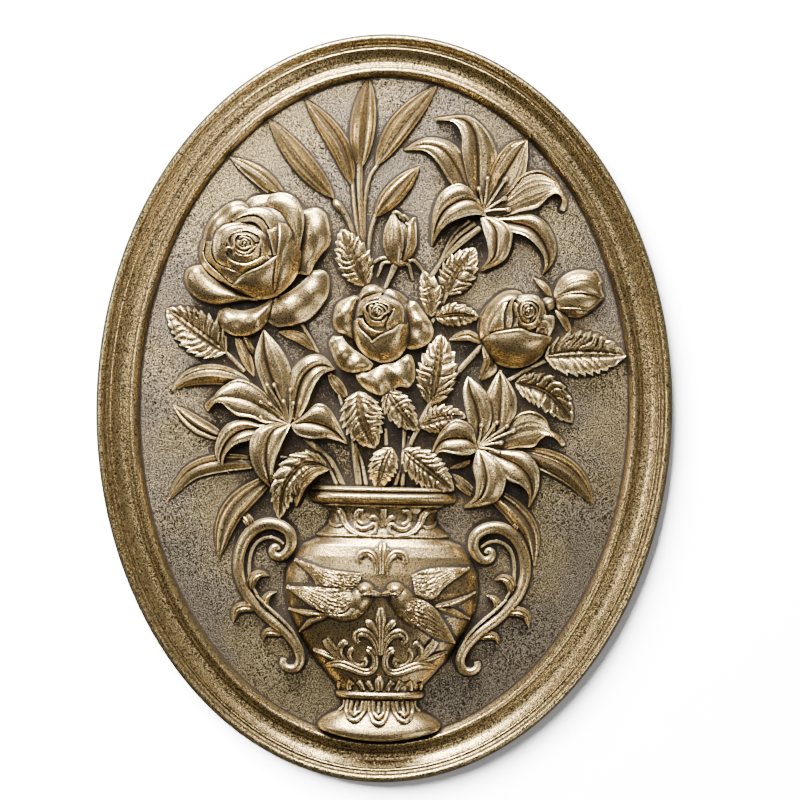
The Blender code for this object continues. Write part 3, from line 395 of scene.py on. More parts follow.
def dome(clay, x, z, half_length, half_width, edge_rise, top_rise, turn=0.0):
    """Domed oval whose length is turned by a number of degrees from +X."""
    rows = steps_in(2 * half_length, STEP, 12, 60)
    columns = steps_in(2 * half_width, STEP, 11, 50)
    way = -np.cos(np.linspace(DOME_START, np.pi - DOME_START, rows))[:, None]
    across = np.sqrt(1 - way**2) * spaced(columns)[None, :]
    side = half_width * across
    cos, sin = math.cos(math.radians(turn)), math.sin(math.radians(turn))
    grid = np.zeros((rows, columns, 3))
    grid[:, :, 0] = x + cos * half_length * way - sin * side
    grid[:, :, 1] = z + sin * half_length * way + cos * side
    grid[:, :, 2] = edge_rise + (top_rise - edge_rise) * np.sqrt((1 - way**2 - across**2).clip(0))
    clay.form(grid, tuck=0.4)


# A rose's heart: degrees that each band goes round and lies behind the one before, and its rise inward
BAND_SWEEP = 345
BAND_TURN = 140
BAND_KNOTS = 26
BAND_LIFT = 0.25


def whorl(clay, x, z, sizes, top_rise, start, way=-1, drop=1.7, wobble=0.08):
    """A rose's heart: bands one inside the other, each rising inward to a rim, and a knot in the middle."""
    share = np.linspace(0, 1, BAND_KNOTS)
    for number, (outside, inside) in enumerate(zip(sizes, sizes[1:])):
        angle = np.radians(start + BAND_TURN * number + way * BAND_SWEEP * share)
        uneven = 1 + wobble * np.sin(3 * angle + number) + 0.5 * wobble * np.sin(5 * angle + 2 * number)
        rises = top_rise + BAND_LIFT * number + 0.5 * share
        lines = []
        for (wide, tall), lower, shrink in ((outside, drop, 0.04), (inside, 0.0, 0.12)):
            radius = uneven * (1 - shrink * share)
            lines.append(np.stack([x + wide * radius * np.cos(angle), z + tall * radius * np.sin(angle),
                                   rises - lower], axis=1))
        fold(clay, *lines, bulge=0.35, lips=(0, 0.55), sharp=0.2)
    wide, tall = sizes[-1]
    knot_top = top_rise + BAND_LIFT * len(sizes) + 0.4
    dome(clay, x, z, 0.8 * wide, 0.8 * tall, top_rise - drop, knot_top, turn=20)


# Leaves

def long_leaves():
    """Long pointed leaves that spread behind the flowers."""
    clay = Clay("long_leaves")
    for knots, half_width, lean in (
        ([(-54, 110, 2.6), (-69, 123, 3), (-84.5, 132.8, 1.2)], 4.6, -0.25),
        ([(-29, 112, 3), (-45.5, 130, 3.5), (-64.5, 153.5, 1.4)], 5.8, 0.15),
        ([(-19, 119, 2.5), (-27, 141, 3), (-45, 164.5, 1.3)], 5.4, -0.2),
        ([(-15, 128, 2.5), (-14, 150, 3.8), (-11.3, 177, 1.3)], 6.7, -0.1),
        ([(-6.5, 130, 2.5), (6, 151, 3.2), (25, 173, 1.3)], 6.2, -0.1),
        ([(-6.5, 102.5, 3), (3, 114.5, 3.6), (16.5, 129.5, 1.3)], 5.4, 0.1),
        ([(-72, 13, 4.5), (-91, 16.5, 5), (-105, 14, 3.2), (-114, 7.3, 1.2)], 5.4, -0.3),
        ([(-84, -18, 4), (-100, -10.5, 3.2), (-113, -0.3, 1.2)], 4.2, 0.3),
        ([(-60, -30.5, 4), (-84, -30.6, 4.4), (-103, -36.5, 3.4), (-115.8, -52.5, 1)], 4.9, -0.2),
        ([(-58, -37, 4), (-76, -51.5, 4.4), (-84, -65, 3.4), (-87.3, -82.5, 1)], 6.0, -0.15),
        ([(54, -41, 4), (70, -53.5, 4.4), (79, -66, 3.4), (81.8, -83, 1)], 5.8, 0.2),
        ([(70, -21, 4), (91, -28, 4.4), (103, -36, 3.2), (113, -49.5, 1)], 6.4, 0.25),
    ):
        blade(clay, knots, half_width, lean=lean)
    for knots, half_width in (
        ([(-38, 30.5, 3), (-46, 37, 4), (-57, 39.8, 2.5)], 2.8),
        ([(-70, 16, 4), (-74.5, 26, 4.4), (-80.5, 38, 3)], 2.8),
        ([(-68.5, 26, 3), (-72.5, 31, 3.4), (-76, 38, 3)], 1.8),
        ([(-20, 5, 3), (-25, 11.5, 4), (-30.5, 18.5, 3)], 3.0),
        ([(36.5, -34.5, 3), (43, -40.5, 4), (51, -47, 3)], 3.0),
        ([(36, -31.5, 2), (43, -29.5, 3), (49, -26.5, 2)], 1.4),
    ):
        blade(clay, knots, half_width, dome=1.5, valley=1.0, rim=0.4, rib=0.4)
    dome(clay, -26.2, 107.6, 4.6, 2.2, 1, 5, turn=-50)


def stems():
    """Stems that run from the flowers down into the urn's mouth."""
    clay = Clay("stems")
    for knots in (
        [(-26, 108, 2, 1.8), (-21, 100, 2.4, 1.2), (-16, 89)],
        [(-19, 121, 1.8, 1.0), (-17.4, 107, 2.4, 1.2), (-14.8, 89)],
        [(-15.4, 130, 1.6, 1.8), (-15.2, 118, 2.6, 1.5), (-14.2, 104, 2.8), (-13, 88, 2.6, 1.4)],
        [(-5.5, 130.5, 1.6, 0.8), (-9.6, 124, 2.2, 0.9), (-12, 113, 2.4, 1.0), (-12.6, 100, 2.4, 0.9),
         (-12, 88)],
        [(-6.4, 103.4, 2, 1.1), (-8.6, 95, 2.4), (-10.4, 84)],
        [(49.5, 97, 6.5, 1.6), (38, 88, 4.4), (30, 79.5, 3.4, 1.3), (22, 68, 3, 1.1)],
        [(47, 99.5, 5.6, 1.2), (37, 92, 4.2, 1.1), (28.5, 78.5, 3, 0.9)],
        [(44, 101, 4.6, 0.8), (35.5, 93, 3.6), (30, 82, 2.8, 0.7)],
        [(33, 62.5, 4, 1.0), (28.5, 53.5, 3.4), (24, 45, 3.2)],
        [(5.4, 79, 4.4, 2.0), (3.4, 73.5, 4.6, 1.5), (1, 68, 4.8, 1.1), (-1, 62.5, 5, 1.0)],
        [(51.8, 34.8, 5, 1.1), (45, 27.3, 4.4, 1.0), (38.5, 20)],
        [(51, 32.6, 4.2, 0.7), (45, 25.8, 3.6, 0.6), (40, 20.2)],
        [(88, 27.8, 4, 1.0), (78, 23, 3.4), (66, 16, 4)],
        [(25.5, 4, 7, 1.2), (20, -6, 6.4, 1.1), (13, -22, 5.4)],
        [(19, -10, 5, 1.0), (15, -17), (10.8, -23.6)],
        [(-44.8, 44, 2.6, 0.9), (-40, 36, 2.8), (-35, 27, 2.6)],
        [(-89, 32, 3, 0.9), (-82, 25.5, 3.4), (-75, 18.5, 3.6)],
        [(-46, -13, 4.4, 1.2), (-38, -20, 4.6, 1.5), (-28, -29, 4.6, 1.4), (-20.5, -43, 4.6, 1.2)],
        [(-40, -18, 3.8, 0.9), (-30, -30, 4), (-24, -43)],
        [(-16.5, -14, 4.6, 1.4), (-14.5, -29, 4.6, 1.7), (-12.5, -43, 4.6, 1.4)],
        [(-14.4, -22, 4, 0.9), (-11, -31, 4.2), (-8.5, -43)],
        [(0.8, -11, 3.6, 1.0), (1.6, -22), (2, -43)],
        [(11, -11, 4, 1.1), (11, -27, 4.4), (10.5, -43)],
        [(13.6, -15, 3.6, 0.9), (10.6, -28, 4.2), (6, -43)],
        [(-23, 11, 3, 0.7), (-24, 6, 3.4), (-22, 0)],
        [(-55, -27, 3.6, 0.7), (-48, -28.2, 4, 0.8), (-44, -29, 4, 0.7)],
        [(-58, -39, 4, 0.7), (-52, -34, 4.4, 0.8), (-46, -31, 4.4, 0.7)],
    ):
        bar(clay, knots, columns=9)


def rose_leaves():
    """Toothed leaves of the roses."""
    clay = Clay("rose_leaves")
    toothed(clay, [(-11, 65.3, 5), (-17.5, 79, 7), (-24.5, 95.3, 5)], 8.8, veins=8)
    toothed(clay, [(24.5, 49.5, 5), (24, 62, 6), (19.3, 73.6, 5)], 5.6, veins=6)
    toothed(clay, [(32.5, 61.3, 4), (38.5, 73.5, 5), (47.2, 86.5, 3)], 8.8, veins=7)
    toothed(clay, [(26.6, 49, 5), (38, 50.7, 6), (49.8, 49.5, 4)], 5.8, veins=7)
    toothed(clay, [(85.5, 29, 7), (106, 31), (128.8, 30.3, 3.6)],
            11.2, veins=9, dome=0.8, pleats=(0.6, 1.8), roof=-3.8)
    toothed(clay, [(70, 14.8, 5), (87, 9.5, 7), (100.7, -5.8, 4)],
            8.4, veins=8, dome=0.8, pleats=(0.7, 1.6), roof=-3.4)
    toothed(clay, [(25, 2.5, 7), (28, 20, 10), (30, 39.8, 7)], 10.0, veins=8, roof=1.6)
    toothed(clay, [(-14, 8.5, 10), (-11.5, -6, 13), (-4.5, -21.4, 9)], 10.6, veins=8, roof=1.4)
    toothed(clay, [(1, 10, 8), (8, -0.5, 10), (17.8, -11.4, 8)], 7.2, veins=7)
    toothed(clay, [(19.3, -9, 8), (31, -5, 9), (43.8, -3.6, 6)], 6.9, veins=8)
    toothed(clay, [(4.2, -21, 10), (0, -31, 12), (-3, -42.8, 9)], 7.2, veins=7)
    toothed(clay, [(10.3, -22.3, 10), (23, -32, 12), (37.8, -43.2, 9)], 8.6, veins=9)
    toothed(clay, [(-85.2, 28.3, 5), (-98.5, 37.5, 7), (-117.3, 51, 3)],
            10.6, veins=9, dome=1.0, pleats=(1.8, 1.0), roof=-2.8)
    toothed(clay, [(-30, -32, 7), (-42, -30.5, 13), (-52, -42), (-55, -60, 8)], 7.6, veins=9)
    blade(clay, [(-29, -33.2, 10), (-37, -34.5, 13.5), (-44, -42, 13), (-46, -53, 9)],
          3.6, dome=1.6, valley=0.9)


# Lilies

def lilies():
    """The three lilies, each petal between its two edges and its middle line."""
    left = Clay("lily_left")
    petal(left, [(-57, -4, 8), (-63.5, 8), (-68, 19), (-69.3, 28, 7.5), (-65.5, 40.5, 5)],
          [(-54, -5, 8), (-58, 8, 7), (-62, 19), (-64.5, 29), (-65.2, 40.6, 5)],
          [(-51, -5, 8), (-50.5, 8, 7.5), (-50.2, 19.5), (-55, 30, 7), (-64.8, 40.8, 5)])
    petal(left, [(-50, -6, 8), (-51, 8), (-49, 20, 9), (-41, 27.3, 10), (-33, 27.2, 8.5), (-27, 20.8, 6)],
          [(-48, -7, 8.5), (-46.5, 5, 9), (-43.5, 15, 10), (-38, 21, 10.5), (-32.5, 22.2, 8.5),
           (-26.8, 20.5, 6)],
          [(-46.5, -8, 9), (-41.5, 0, 11), (-38, 9, 12), (-34.5, 15.8, 11), (-31, 18.6, 8.5),
           (-26.6, 20.2, 6)],
          streak=0.2)
    petal(left, [(-55, -5, 9), (-62, 5), (-70, 11.5, 9.5), (-78, 14.2, 10), (-86, 10, 10.5),
                 (-91, 4.5, 11), (-95.4, 0.5, 9), (-94.6, -2.8, 7)],
          [(-55, -7, 9), (-63, -2, 9.5), (-71, 2, 11), (-79, 4, 12), (-86, 4.6, 12.5), (-90.5, 3.2, 12),
           (-94, 0.3, 9.5), (-94.2, -3, 7)],
          [(-55, -9, 10), (-63, -9, 10.5), (-70, -6.4, 11.5), (-78, -5.2, 12), (-82.5, -2.2, 12.5),
           (-86.5, 1.4), (-90.5, 0.8, 11), (-93.8, -3.2, 7)],
          crease=0.1, puff=1.5, rim=0.7)
    petal(left, [(-57, -8.5, 9), (-66, -9.8, 9.5), (-75, -7.6, 10), (-84, -10.5, 10.5), (-89.3, -20, 9.5),
                 (-88.6, -29, 7.5), (-82.3, -36.6, 4.5)],
          [(-57, -10, 9), (-66, -12.3, 9.4), (-74, -12.8, 10), (-80.5, -16.5, 10.5), (-85, -23, 9.4),
           (-86.8, -30, 7), (-82.4, -36.4, 4.5)],
          [(-58, -12, 9), (-66, -15.8, 11), (-72.5, -18.6, 12.5), (-79, -20.8, 12), (-83.5, -25.5, 10),
           (-85.2, -31, 7.5), (-82.6, -36, 4.5)])
    petal(left, [(-52, -8.5, 10), (-61, -9.8, 12), (-69, -14, 13), (-71.2, -24), (-67.5, -35.5, 11),
                 (-59.8, -43.4, 7)],
          [(-51, -9.2, 10.5), (-58.5, -12.6, 13), (-61.8, -20, 14), (-62.2, -28.5, 13.6),
           (-61, -36.5, 11.6), (-59.3, -43.6, 7)],
          [(-49.5, -9.6, 10.5), (-51.5, -14.5, 12.5), (-54.5, -21.5, 13.5), (-57.6, -30, 13),
           (-58.6, -37, 11), (-58.7, -43.4, 7)],
          puff=2.0)
    petal(left, [(-49, -9, 11), (-42.5, -4.5, 12), (-36, 1.6, 12.5), (-30, 0, 12), (-24.5, -8, 10),
                 (-19.5, -18.5, 6)],
          [(-49, -9.6, 11.5), (-42, -8.2, 12.5), (-36, -8.8), (-30, -10.8, 12), (-25, -14, 10),
           (-19.4, -19, 6)],
          [(-49, -10.5, 11), (-46, -15, 12), (-39, -16.8, 12.5), (-31, -16.6, 11.5), (-25.5, -17.4, 9.5),
           (-19.6, -19.6, 6)],
          puff=2.2)

    top = Clay("lily_top")
    petal(top, [(46, 118, 6), (41, 133), (33, 142.5), (20, 144.8, 5), (8.5, 138.8, 3)],
          [(44, 114, 7), (37, 128, 8), (29, 138.5, 8.6), (19, 141.2, 7), (8.5, 138.6, 3)],
          [(38, 116, 7), (33, 121, 8), (26, 131.5, 9), (19, 137.5, 7.4), (8.5, 138.2, 3)],
          puff=1.5)
    petal(top, [(46, 112, 8), (42, 124, 9), (39.5, 136, 10), (38.5, 147, 9), (34, 153.5, 7),
                (24.8, 154.4, 4)],
          [(49, 112, 6.5), (48, 124), (47.5, 137, 7), (45.5, 148), (39, 155, 6), (24.8, 154.9, 4)],
          [(52, 112, 6), (55.5, 124), (58, 135, 5.5), (53, 148), (42, 156.8, 5), (24.8, 155.4, 4)])
    petal(top, [(54, 108, 7), (64, 116, 6), (72, 126, 5.5), (81, 128.4, 5), (89, 124), (92.5, 118, 6),
                (95.5, 112, 7), (94.5, 107, 6.5)],
          [(53.5, 105, 7), (64, 110, 6.4), (74, 116), (82, 119, 6.6), (88, 119.5, 7), (91.5, 117, 8),
           (94, 112.5, 8.4), (93, 107.5, 7)],
          [(53, 102.8, 7.2), (62, 103.3, 5.6), (70, 106, 5.2), (79.5, 108.3, 5.4), (85.5, 114, 6.4),
           (90, 116, 7.8), (93, 113, 8.4), (91.8, 107.5, 7.4)],
          puff=0.4, crease=0.1, streak=0.2, rim=1.6)
    petal(top, [(50, 108, 7.5), (53, 122, 7.6), (58, 134.5), (65, 142.5, 6.6), (73.6, 144.8, 4.5)],
          [(52, 107, 7), (59.5, 121, 4.6), (65.5, 131.5, 4.4), (70.5, 140), (73.8, 144.6, 4)],
          [(56, 106, 7), (66.5, 115, 5.6), (72.5, 124), (74.3, 135, 5.2), (74, 144.4, 4.2)],
          puff=0.9, streak=0.3, rim=1.2)
    petal(top, [(57, 102, 8), (68, 103.6, 7.5), (78, 104.3), (86, 98.5), (90.3, 88, 6.5), (88.5, 79, 5),
                (83.8, 73.2, 3.5)],
          [(57, 101, 7.5), (67, 99.8, 7), (76, 97.5, 7.2), (82, 91.5, 7.4), (85.8, 84, 7),
           (86.5, 78, 5.6), (83.6, 73.2, 3.5)],
          [(57, 98, 8), (66, 95.2, 9.5), (73, 93.2, 10.5), (79, 88.6), (83.5, 82.8, 9), (84.5, 77.5, 6.5),
           (83.4, 73.1, 3.5)])
    petal(top, [(48, 113, 9), (42.5, 118.5, 11), (36, 120, 12), (28, 114.5), (24.2, 104, 10),
                (23.6, 88, 5)],
          [(50.5, 108, 9.5), (45, 111.6, 11.4), (38, 111, 12.2), (30.5, 105.8, 11.8), (26, 97.5, 9.4),
           (23.9, 87.6, 5)],
          [(53, 103, 9.5), (47.5, 103.8, 11), (40, 102.2, 12), (32.5, 98.8, 11.5), (27.5, 93.5, 9),
           (24.2, 87.2, 5)],
          puff=2.3)
    petal(top, [(49.5, 102.5, 9), (51, 96, 11), (53.5, 88, 12.5), (54, 81, 11), (50.3, 75, 7)],
          [(51.5, 103, 9.5), (57, 97, 11.4), (58.2, 90, 12.2), (57, 81.5, 11.4), (50.6, 74.8, 7)],
          [(56, 103, 9), (64.5, 98.5, 10), (66.8, 92, 11), (63, 80.5, 10), (51.5, 74.2, 7)],
          puff=1.9)

    right = Clay("lily_right")
    petal(right, [(54, -17, 7.5), (57.8, -8, 7), (56.4, 2), (54.8, 9), (61.2, 21.4, 5)],
          [(57, -17, 7.5), (61, -7), (62, 3, 8), (62.3, 11.5, 7.5), (61.4, 21.5, 5)],
          [(60, -17, 7.5), (67, -8), (70.8, 1), (69.2, 10.5, 7), (61.7, 21.4, 5)],
          crease=0.2)
    petal(right, [(54, -17, 7), (64, -11, 6.5), (71.5, -2.2, 6), (79, -0.2), (86, -4), (89, -10, 7),
                  (93, -12.6, 8), (97, -16.6, 7)],
          [(54, -19.5, 7), (64, -16, 6.4), (73, -12), (80, -10.5, 6.8), (85, -11, 7.8), (89, -12, 8.4),
           (92.5, -13.6), (96.6, -17.8, 7)],
          [(54, -21.2, 7.4), (63, -21.4, 5.8), (71, -20, 5.4), (80, -19.4, 5.8), (83.4, -15.4, 7),
           (87, -13, 8.2), (91.5, -14.6), (95.4, -18.8, 7)],
          puff=0.4, crease=0.1, streak=0.2, rim=1.6)
    petal(right, [(48.5, -16, 8), (45, -6, 9), (42.6, 4, 8.5), (42, 11, 7.5), (44.2, 17.4, 5.5)],
          [(50.5, -16, 7.5), (50.8, -7, 7.2), (48.8, 2), (45.8, 9.5, 7), (44.5, 17.5, 5.5)],
          [(53, -16, 8), (57.4, -5, 8.5), (56.2, 4.5), (52, 12, 7.5), (44.9, 17.5, 5.5)],
          puff=1.5)
    petal(right, [(56, -21.5, 8.5), (66, -21.4, 9.5), (76, -22.6, 10.5), (82.6, -30.5, 11), (83, -41, 9),
                  (78.5, -51.6, 5)],
          [(56, -22.5, 8.5), (64, -25.5, 9.6), (72, -29.3, 11), (77.6, -35.5), (79.6, -43, 9),
           (78.3, -51.6, 5)],
          [(56, -24, 9), (60.5, -30.5, 11), (66.5, -37, 12.5), (73.5, -39.8, 12), (77.6, -44.5, 9.5),
           (78, -51.5, 5)],
          puff=1.9)
    petal(right, [(49.5, -18.5, 10), (47, -9.5, 11.5), (39, -5.2, 12), (32, -10, 11.5), (27.6, -18, 9),
                  (24.8, -27, 5.5)],
          [(50, -19.2, 10), (44.5, -15.8, 11), (38, -15.4, 11.4), (32, -16.6, 11), (28, -20.6, 8.8),
           (24.9, -27.2, 5.5)],
          [(50.5, -21.5, 10.5), (45, -24.2, 12), (38, -23.8, 12.5), (31.5, -22.6, 11.5), (28.2, -24, 9),
           (25.1, -27.4, 5.5)],
          puff=2.0)
    petal(right, [(50, -21, 10), (47.8, -30, 12), (49.5, -38.5, 13), (49, -46, 11.5), (43.6, -51.8, 6.5)],
          [(51, -21.5, 10.5), (54, -31, 13.4), (54.8, -39, 13.8), (51.5, -47.2, 12), (43.8, -52.2, 6.5)],
          [(54, -21.8, 10), (62, -28, 12.5), (65.4, -38, 13), (60, -48.8, 11), (44.2, -52.6, 6.5)],
          puff=2.0)

    stamens(left, (-50.5, -9.5, 11), 9.5, [(-65.5, 2), (-62.3, 11), (-58.6, 11), (-50, 8.5), (-53.5, 2.5),
                                           (-48.5, 1.5), (-60.5, 1), (-65.5, -6)])
    stamens(top, (51, 105.5, 10), 8.8, [(48.5, 117.5), (53, 123), (62.5, 123), (62, 112.8), (64, 107)])
    stamens(right, (50, -20, 10), 8.8, [(52, -8.5), (60, -6.8), (65.5, -8.5), (69, -10.8), (62.5, -17.3),
                                        (61.5, -22.4)])


def stamens(clay, throat, rise, tips):
    """Threads that spread from a lily's throat, each with a knob."""
    x, z, deep = throat
    for tip_x, tip_z in tips:
        middle = ((x + tip_x) / 2 + 0.4, (z + tip_z) / 2 + 0.5)
        bar(clay, [(x, z, deep - 1, 0.5), (*middle, rise + 0.5, 0.55), (tip_x, tip_z, rise + 1.2, 0.6)],
            columns=7)
        dome(clay, tip_x, tip_z, 1.7, 1.3, rise - 0.5, rise + 3.0,
             turn=math.degrees(math.atan2(tip_z - z, tip_x - x)))


# Roses and buds

def big_rose():
    """Open rose at the upper left, from its outer petals in to its heart."""
    clay = Clay("rose_big")
    dome(clay, -73, 83, 25, 24, 0, 12)
    fold(clay, [(-46, 104, 8), (-38, 106.3), (-33, 103), (-31.2, 97), (-30.2, 91), (-31, 86), (-35, 81),
                (-38.5, 76), (-41, 70)],
         [(-47, 103, 8), (-46.5, 98), (-46, 92), (-46, 86), (-46.5, 80), (-46.5, 75), (-47, 71)],
         bulge=4.6, lips=(0.2, 0), ripple=1.0, ripples=2.2)
    fold(clay, [(-76.6, 105.6, 5), (-74, 110.4, 5.4), (-69, 112.4, 6), (-64, 112.8, 6.6), (-59, 113, 7)],
         [(-74, 101, 9), (-70, 104), (-65, 105, 9.4), (-60, 105, 10), (-56, 104)],
         bulge=1.6, lips=(0.9, 0), sharp=0.3)
    fold(clay, [(-98, 84, 6), (-97.5, 92), (-94.4, 99, 6.4), (-89.6, 104.2, 7), (-84, 108, 7.4),
                (-78.4, 109, 8), (-74.4, 106.4, 9)],
         [(-90, 84, 11.4), (-89.5, 90), (-85.6, 95.6, 11.6), (-82, 98.6), (-79, 100.5, 11.8),
          (-76, 102.4, 12), (-73.4, 104, 11.6)],
         bulge=2.6, lips=(0.9, 0), ripple=0.7, ripples=2.6, sharp=0.4)
    fold(clay, [(-66, 107, 9), (-61, 106.4, 9.6), (-57, 104, 10.4), (-53.6, 100, 11), (-51.6, 95, 11.4)],
         [(-72, 102, 12), (-66, 101), (-61.6, 99, 12.4), (-58.6, 96, 12.6), (-56.4, 92)],
         bulge=0.2, lips=(0, 0))
    fold(clay, [(-63, 112.8, 8), (-57, 114, 9), (-51, 112.4, 10), (-46.8, 108, 11), (-44.2, 101, 11.5),
                (-44.6, 93), (-46, 85, 11), (-46, 77, 10)],
         [(-67, 106.5, 9.6), (-62, 106, 10.6), (-57.5, 104, 11.4), (-54, 100, 12), (-52, 95, 12.5),
          (-50.6, 90), (-50, 84, 12), (-50, 78, 11)],
         bulge=2.6, lips=(1.2, 0))
    fold(clay, [(-39, 72.8, 6), (-33.5, 72.8, 6.5), (-30.6, 69), (-31, 60), (-35.5, 52.3), (-42, 46),
                (-50, 43.6), (-57.5, 42.4), (-62.4, 45)],
         [(-41, 71, 7), (-42.5, 69), (-45, 66.5), (-48, 64), (-51.5, 61.5), (-55, 59.5), (-58, 58.2),
          (-60, 56.5), (-61, 54)],
         bulge=4.4, lips=(0.2, 0), ripple=0.8, ripples=2.6)
    fold(clay, [(-60.6, 56.6, 7), (-61, 50), (-64.5, 43.4), (-69, 39.4), (-75, 37.4), (-81.5, 37.6),
                (-87, 41), (-90.2, 46, 6.5)],
         [(-61.6, 57, 7), (-65, 54.5), (-69.5, 52.4), (-73, 51.4), (-77, 50.8), (-81, 51.4), (-85, 52),
          (-89, 50.4, 6.5)],
         bulge=4.4, lips=(0.2, 0), ripple=1.4, ripples=2.4)
    fold(clay, [(-68.5, 56, 8), (-76, 56.4), (-83, 55), (-91, 54), (-99, 56), (-105, 61), (-107.6, 67),
                (-106.4, 72, 7.5), (-102, 74.2, 7)],
         [(-69, 56.6, 8.4), (-76, 59.6, 9), (-82.5, 62.4), (-88, 65), (-92.5, 67.6), (-95.5, 70),
          (-97.4, 72.4), (-98.6, 74.2, 8), (-99.5, 74.6, 7)],
         bulge=4.8, lips=(0.2, 0.3), ripple=0.3, ripples=2)
    # The cup's left side: two thin lips with a shallow trough between each and the next
    fold(clay, [(-98.6, 88, 10), (-99.8, 82), (-98.8, 76.6), (-95.6, 71.6), (-91, 67.8), (-86.4, 64.6),
                (-82.2, 62)],
         [(-96.4, 88, 14), (-97.4, 82), (-96.2, 77.4), (-93, 73.4), (-89, 70), (-85.4, 66.6),
          (-81.6, 64.2)],
         bulge=0.9, lips=(0, 0.8))
    fold(clay, [(-96, 87, 12.6), (-96.8, 82), (-95.6, 77.8), (-92.6, 74), (-88.6, 70.6), (-85.2, 67.2),
                (-81.4, 65)],
         [(-93, 87, 15), (-93.4, 82), (-92, 77.4), (-89.4, 74.6), (-85, 73), (-80.6, 71.4), (-76.6, 70)],
         bulge=0.4, lips=(0, 0.9))
    # The broad petal inside them, up to the heart
    fold(clay, [(-84, 73, 13.6), (-90.6, 77, 14), (-92.6, 84), (-91.4, 91, 14.4), (-87, 95.6, 14.6),
                (-80, 97.2, 14.8), (-73.4, 96.6, 15)],
         [(-84, 77.6, 16.4), (-85.4, 81, 17), (-85.4, 85.4, 17.6), (-83.6, 89.4, 17.8), (-81, 92),
          (-77.4, 93.6, 17.6), (-73, 94.4, 17.2)],
         bulge=1.7, lips=(0.9, 0.2))
    # The upper cup: a broad grey petal with a thin rim, and the rim inside it
    fold(clay, [(-83, 99.6, 11.6), (-78, 102.8, 12), (-72, 105.2, 12.4), (-66, 105.2, 12.8),
                (-61.4, 102.8, 13), (-58.2, 99.2), (-55.4, 95.6)],
         [(-82, 98, 14), (-77, 100.6, 14.6), (-71, 101.6, 15), (-66.6, 100, 15.2), (-63.6, 96.6, 15.4),
          (-61.6, 93.4), (-59.6, 90.6, 15)],
         bulge=1.3, lips=(0.9, 0.3))
    fold(clay, [(-82, 98, 13.4), (-76, 100.4, 13.8), (-70.4, 101, 14), (-66.4, 98.8, 14.2),
                (-64, 95.2, 14.4), (-62, 91.6)],
         [(-80, 96.6, 15.6), (-75, 97.6, 16), (-70.8, 97.4, 16.4), (-67.6, 95.2, 16.6),
          (-65.8, 92.4, 16.8), (-64.6, 89.4, 16.6)],
         bulge=0.5, lips=(0, 0.9))
    fold(clay, [(-62, 94, 14), (-58.4, 96.4), (-56.8, 92, 14.4), (-56.6, 86.6, 14.8), (-57.2, 81, 15)],
         [(-63.6, 93.6, 17.2), (-62.2, 89.6, 17.6), (-61.2, 85.6, 18), (-60.4, 82.6, 18.2), (-60, 80)],
         bulge=0.3, lips=(0, 1.0))
    fold(clay, [(-66.4, 93.6, 15), (-64, 90.4, 15.4), (-62.6, 86.6, 15.6), (-61.8, 83, 16),
                (-61.4, 80.4)],
         [(-68, 91, 17), (-66.4, 88.6, 17.4), (-65.6, 85.6, 17.6), (-65.4, 82.6), (-65.6, 80)],
         bulge=0.6, lips=(0.1, 0.8))
    # The front of the cup, its right side and the folded flap between them
    fold(clay, [(-82.2, 62.8, 11), (-78, 59.8, 10), (-73, 57.4, 9), (-67, 56.8), (-61.6, 57.6),
                (-57.6, 59, 10)],
         [(-82, 63.6, 15), (-77.6, 68.2, 18), (-72.4, 71.4, 19.6), (-66.6, 74, 20.4), (-61.6, 77.4, 20.6),
          (-57.4, 80, 20)],
         bulge=3.8, lips=(0, 0.9), sharp=0.35)
    fold(clay, [(-49.6, 90.6, 12), (-46.4, 85, 11), (-45.4, 79, 10), (-46.4, 73, 9.5), (-50, 66.4),
                (-54.6, 61.6), (-58, 59, 10)],
         [(-54.6, 91, 16), (-55.4, 87, 17), (-56, 82, 18), (-56.8, 76.6, 18.4), (-57.6, 71, 17.6),
          (-58.2, 66, 15.6), (-58.6, 61, 12.6)],
         bulge=3.0, lips=(0.3, 0), sharp=0.35)
    fold(clay, [(-57.4, 97.6, 16.4), (-57, 91, 19), (-57.4, 85, 20.4), (-58.2, 79, 21), (-58.8, 72.6, 20),
                (-59.4, 66, 17.8), (-59.6, 61.6, 14)],
         [(-53.6, 97, 13.6), (-50.4, 92.4, 14.4), (-51.6, 88, 16), (-54.6, 83.6, 17.6), (-55.8, 76.6, 18),
          (-57, 69.6, 16.6), (-58.4, 62.6, 14)],
         bulge=0.8, lips=(0.6, 0.9))
    # Thin lips between the cup and the heart
    fold(clay, [(-86.6, 75.6, 14), (-82, 71.8, 14.6), (-77.6, 70.4, 15), (-71, 72.2, 15.6),
                (-66.4, 74.4, 16), (-61, 78)],
         [(-85.6, 80, 16.4), (-82.4, 77, 17), (-78, 75.4, 17.4), (-73.4, 75.6, 17.8), (-69.4, 77.2, 18),
          (-63.6, 80.2, 17.8)],
         bulge=0.8, lips=(0, 0.6))
    fold(clay, [(-62.6, 79, 15.6), (-63.4, 84, 15.8), (-63.6, 88.6), (-66, 92.6), (-70.6, 95.4)],
         [(-66.4, 79.8, 17.6), (-66.4, 84, 18), (-66.8, 87.6), (-68.8, 90.6, 17.8), (-72, 92.8, 17.4)],
         bulge=0.4, lips=(0, 0.9))
    dome(clay, -75, 85.4, 14, 12, 14.6, 16.6)
    whorl(clay, -75.4, 86.2, [(11.4, 9.8), (8.4, 7.0), (5.8, 4.8), (3.6, 2.8), (1.8, 1.4)],
          17.8, start=215, drop=1.3)
    fold(clay, [(-86, 81, 17.4), (-85.4, 83.6, 18), (-82.6, 84), (-81, 82, 17.8), (-81.6, 80, 17.4)],
         [(-84.6, 81.2, 16.8), (-84, 82.4, 17), (-82.8, 82.6), (-82.2, 81.6, 16.8), (-82.4, 80.8, 16.6)],
         bulge=0.3, lips=(0.7, 0.2))


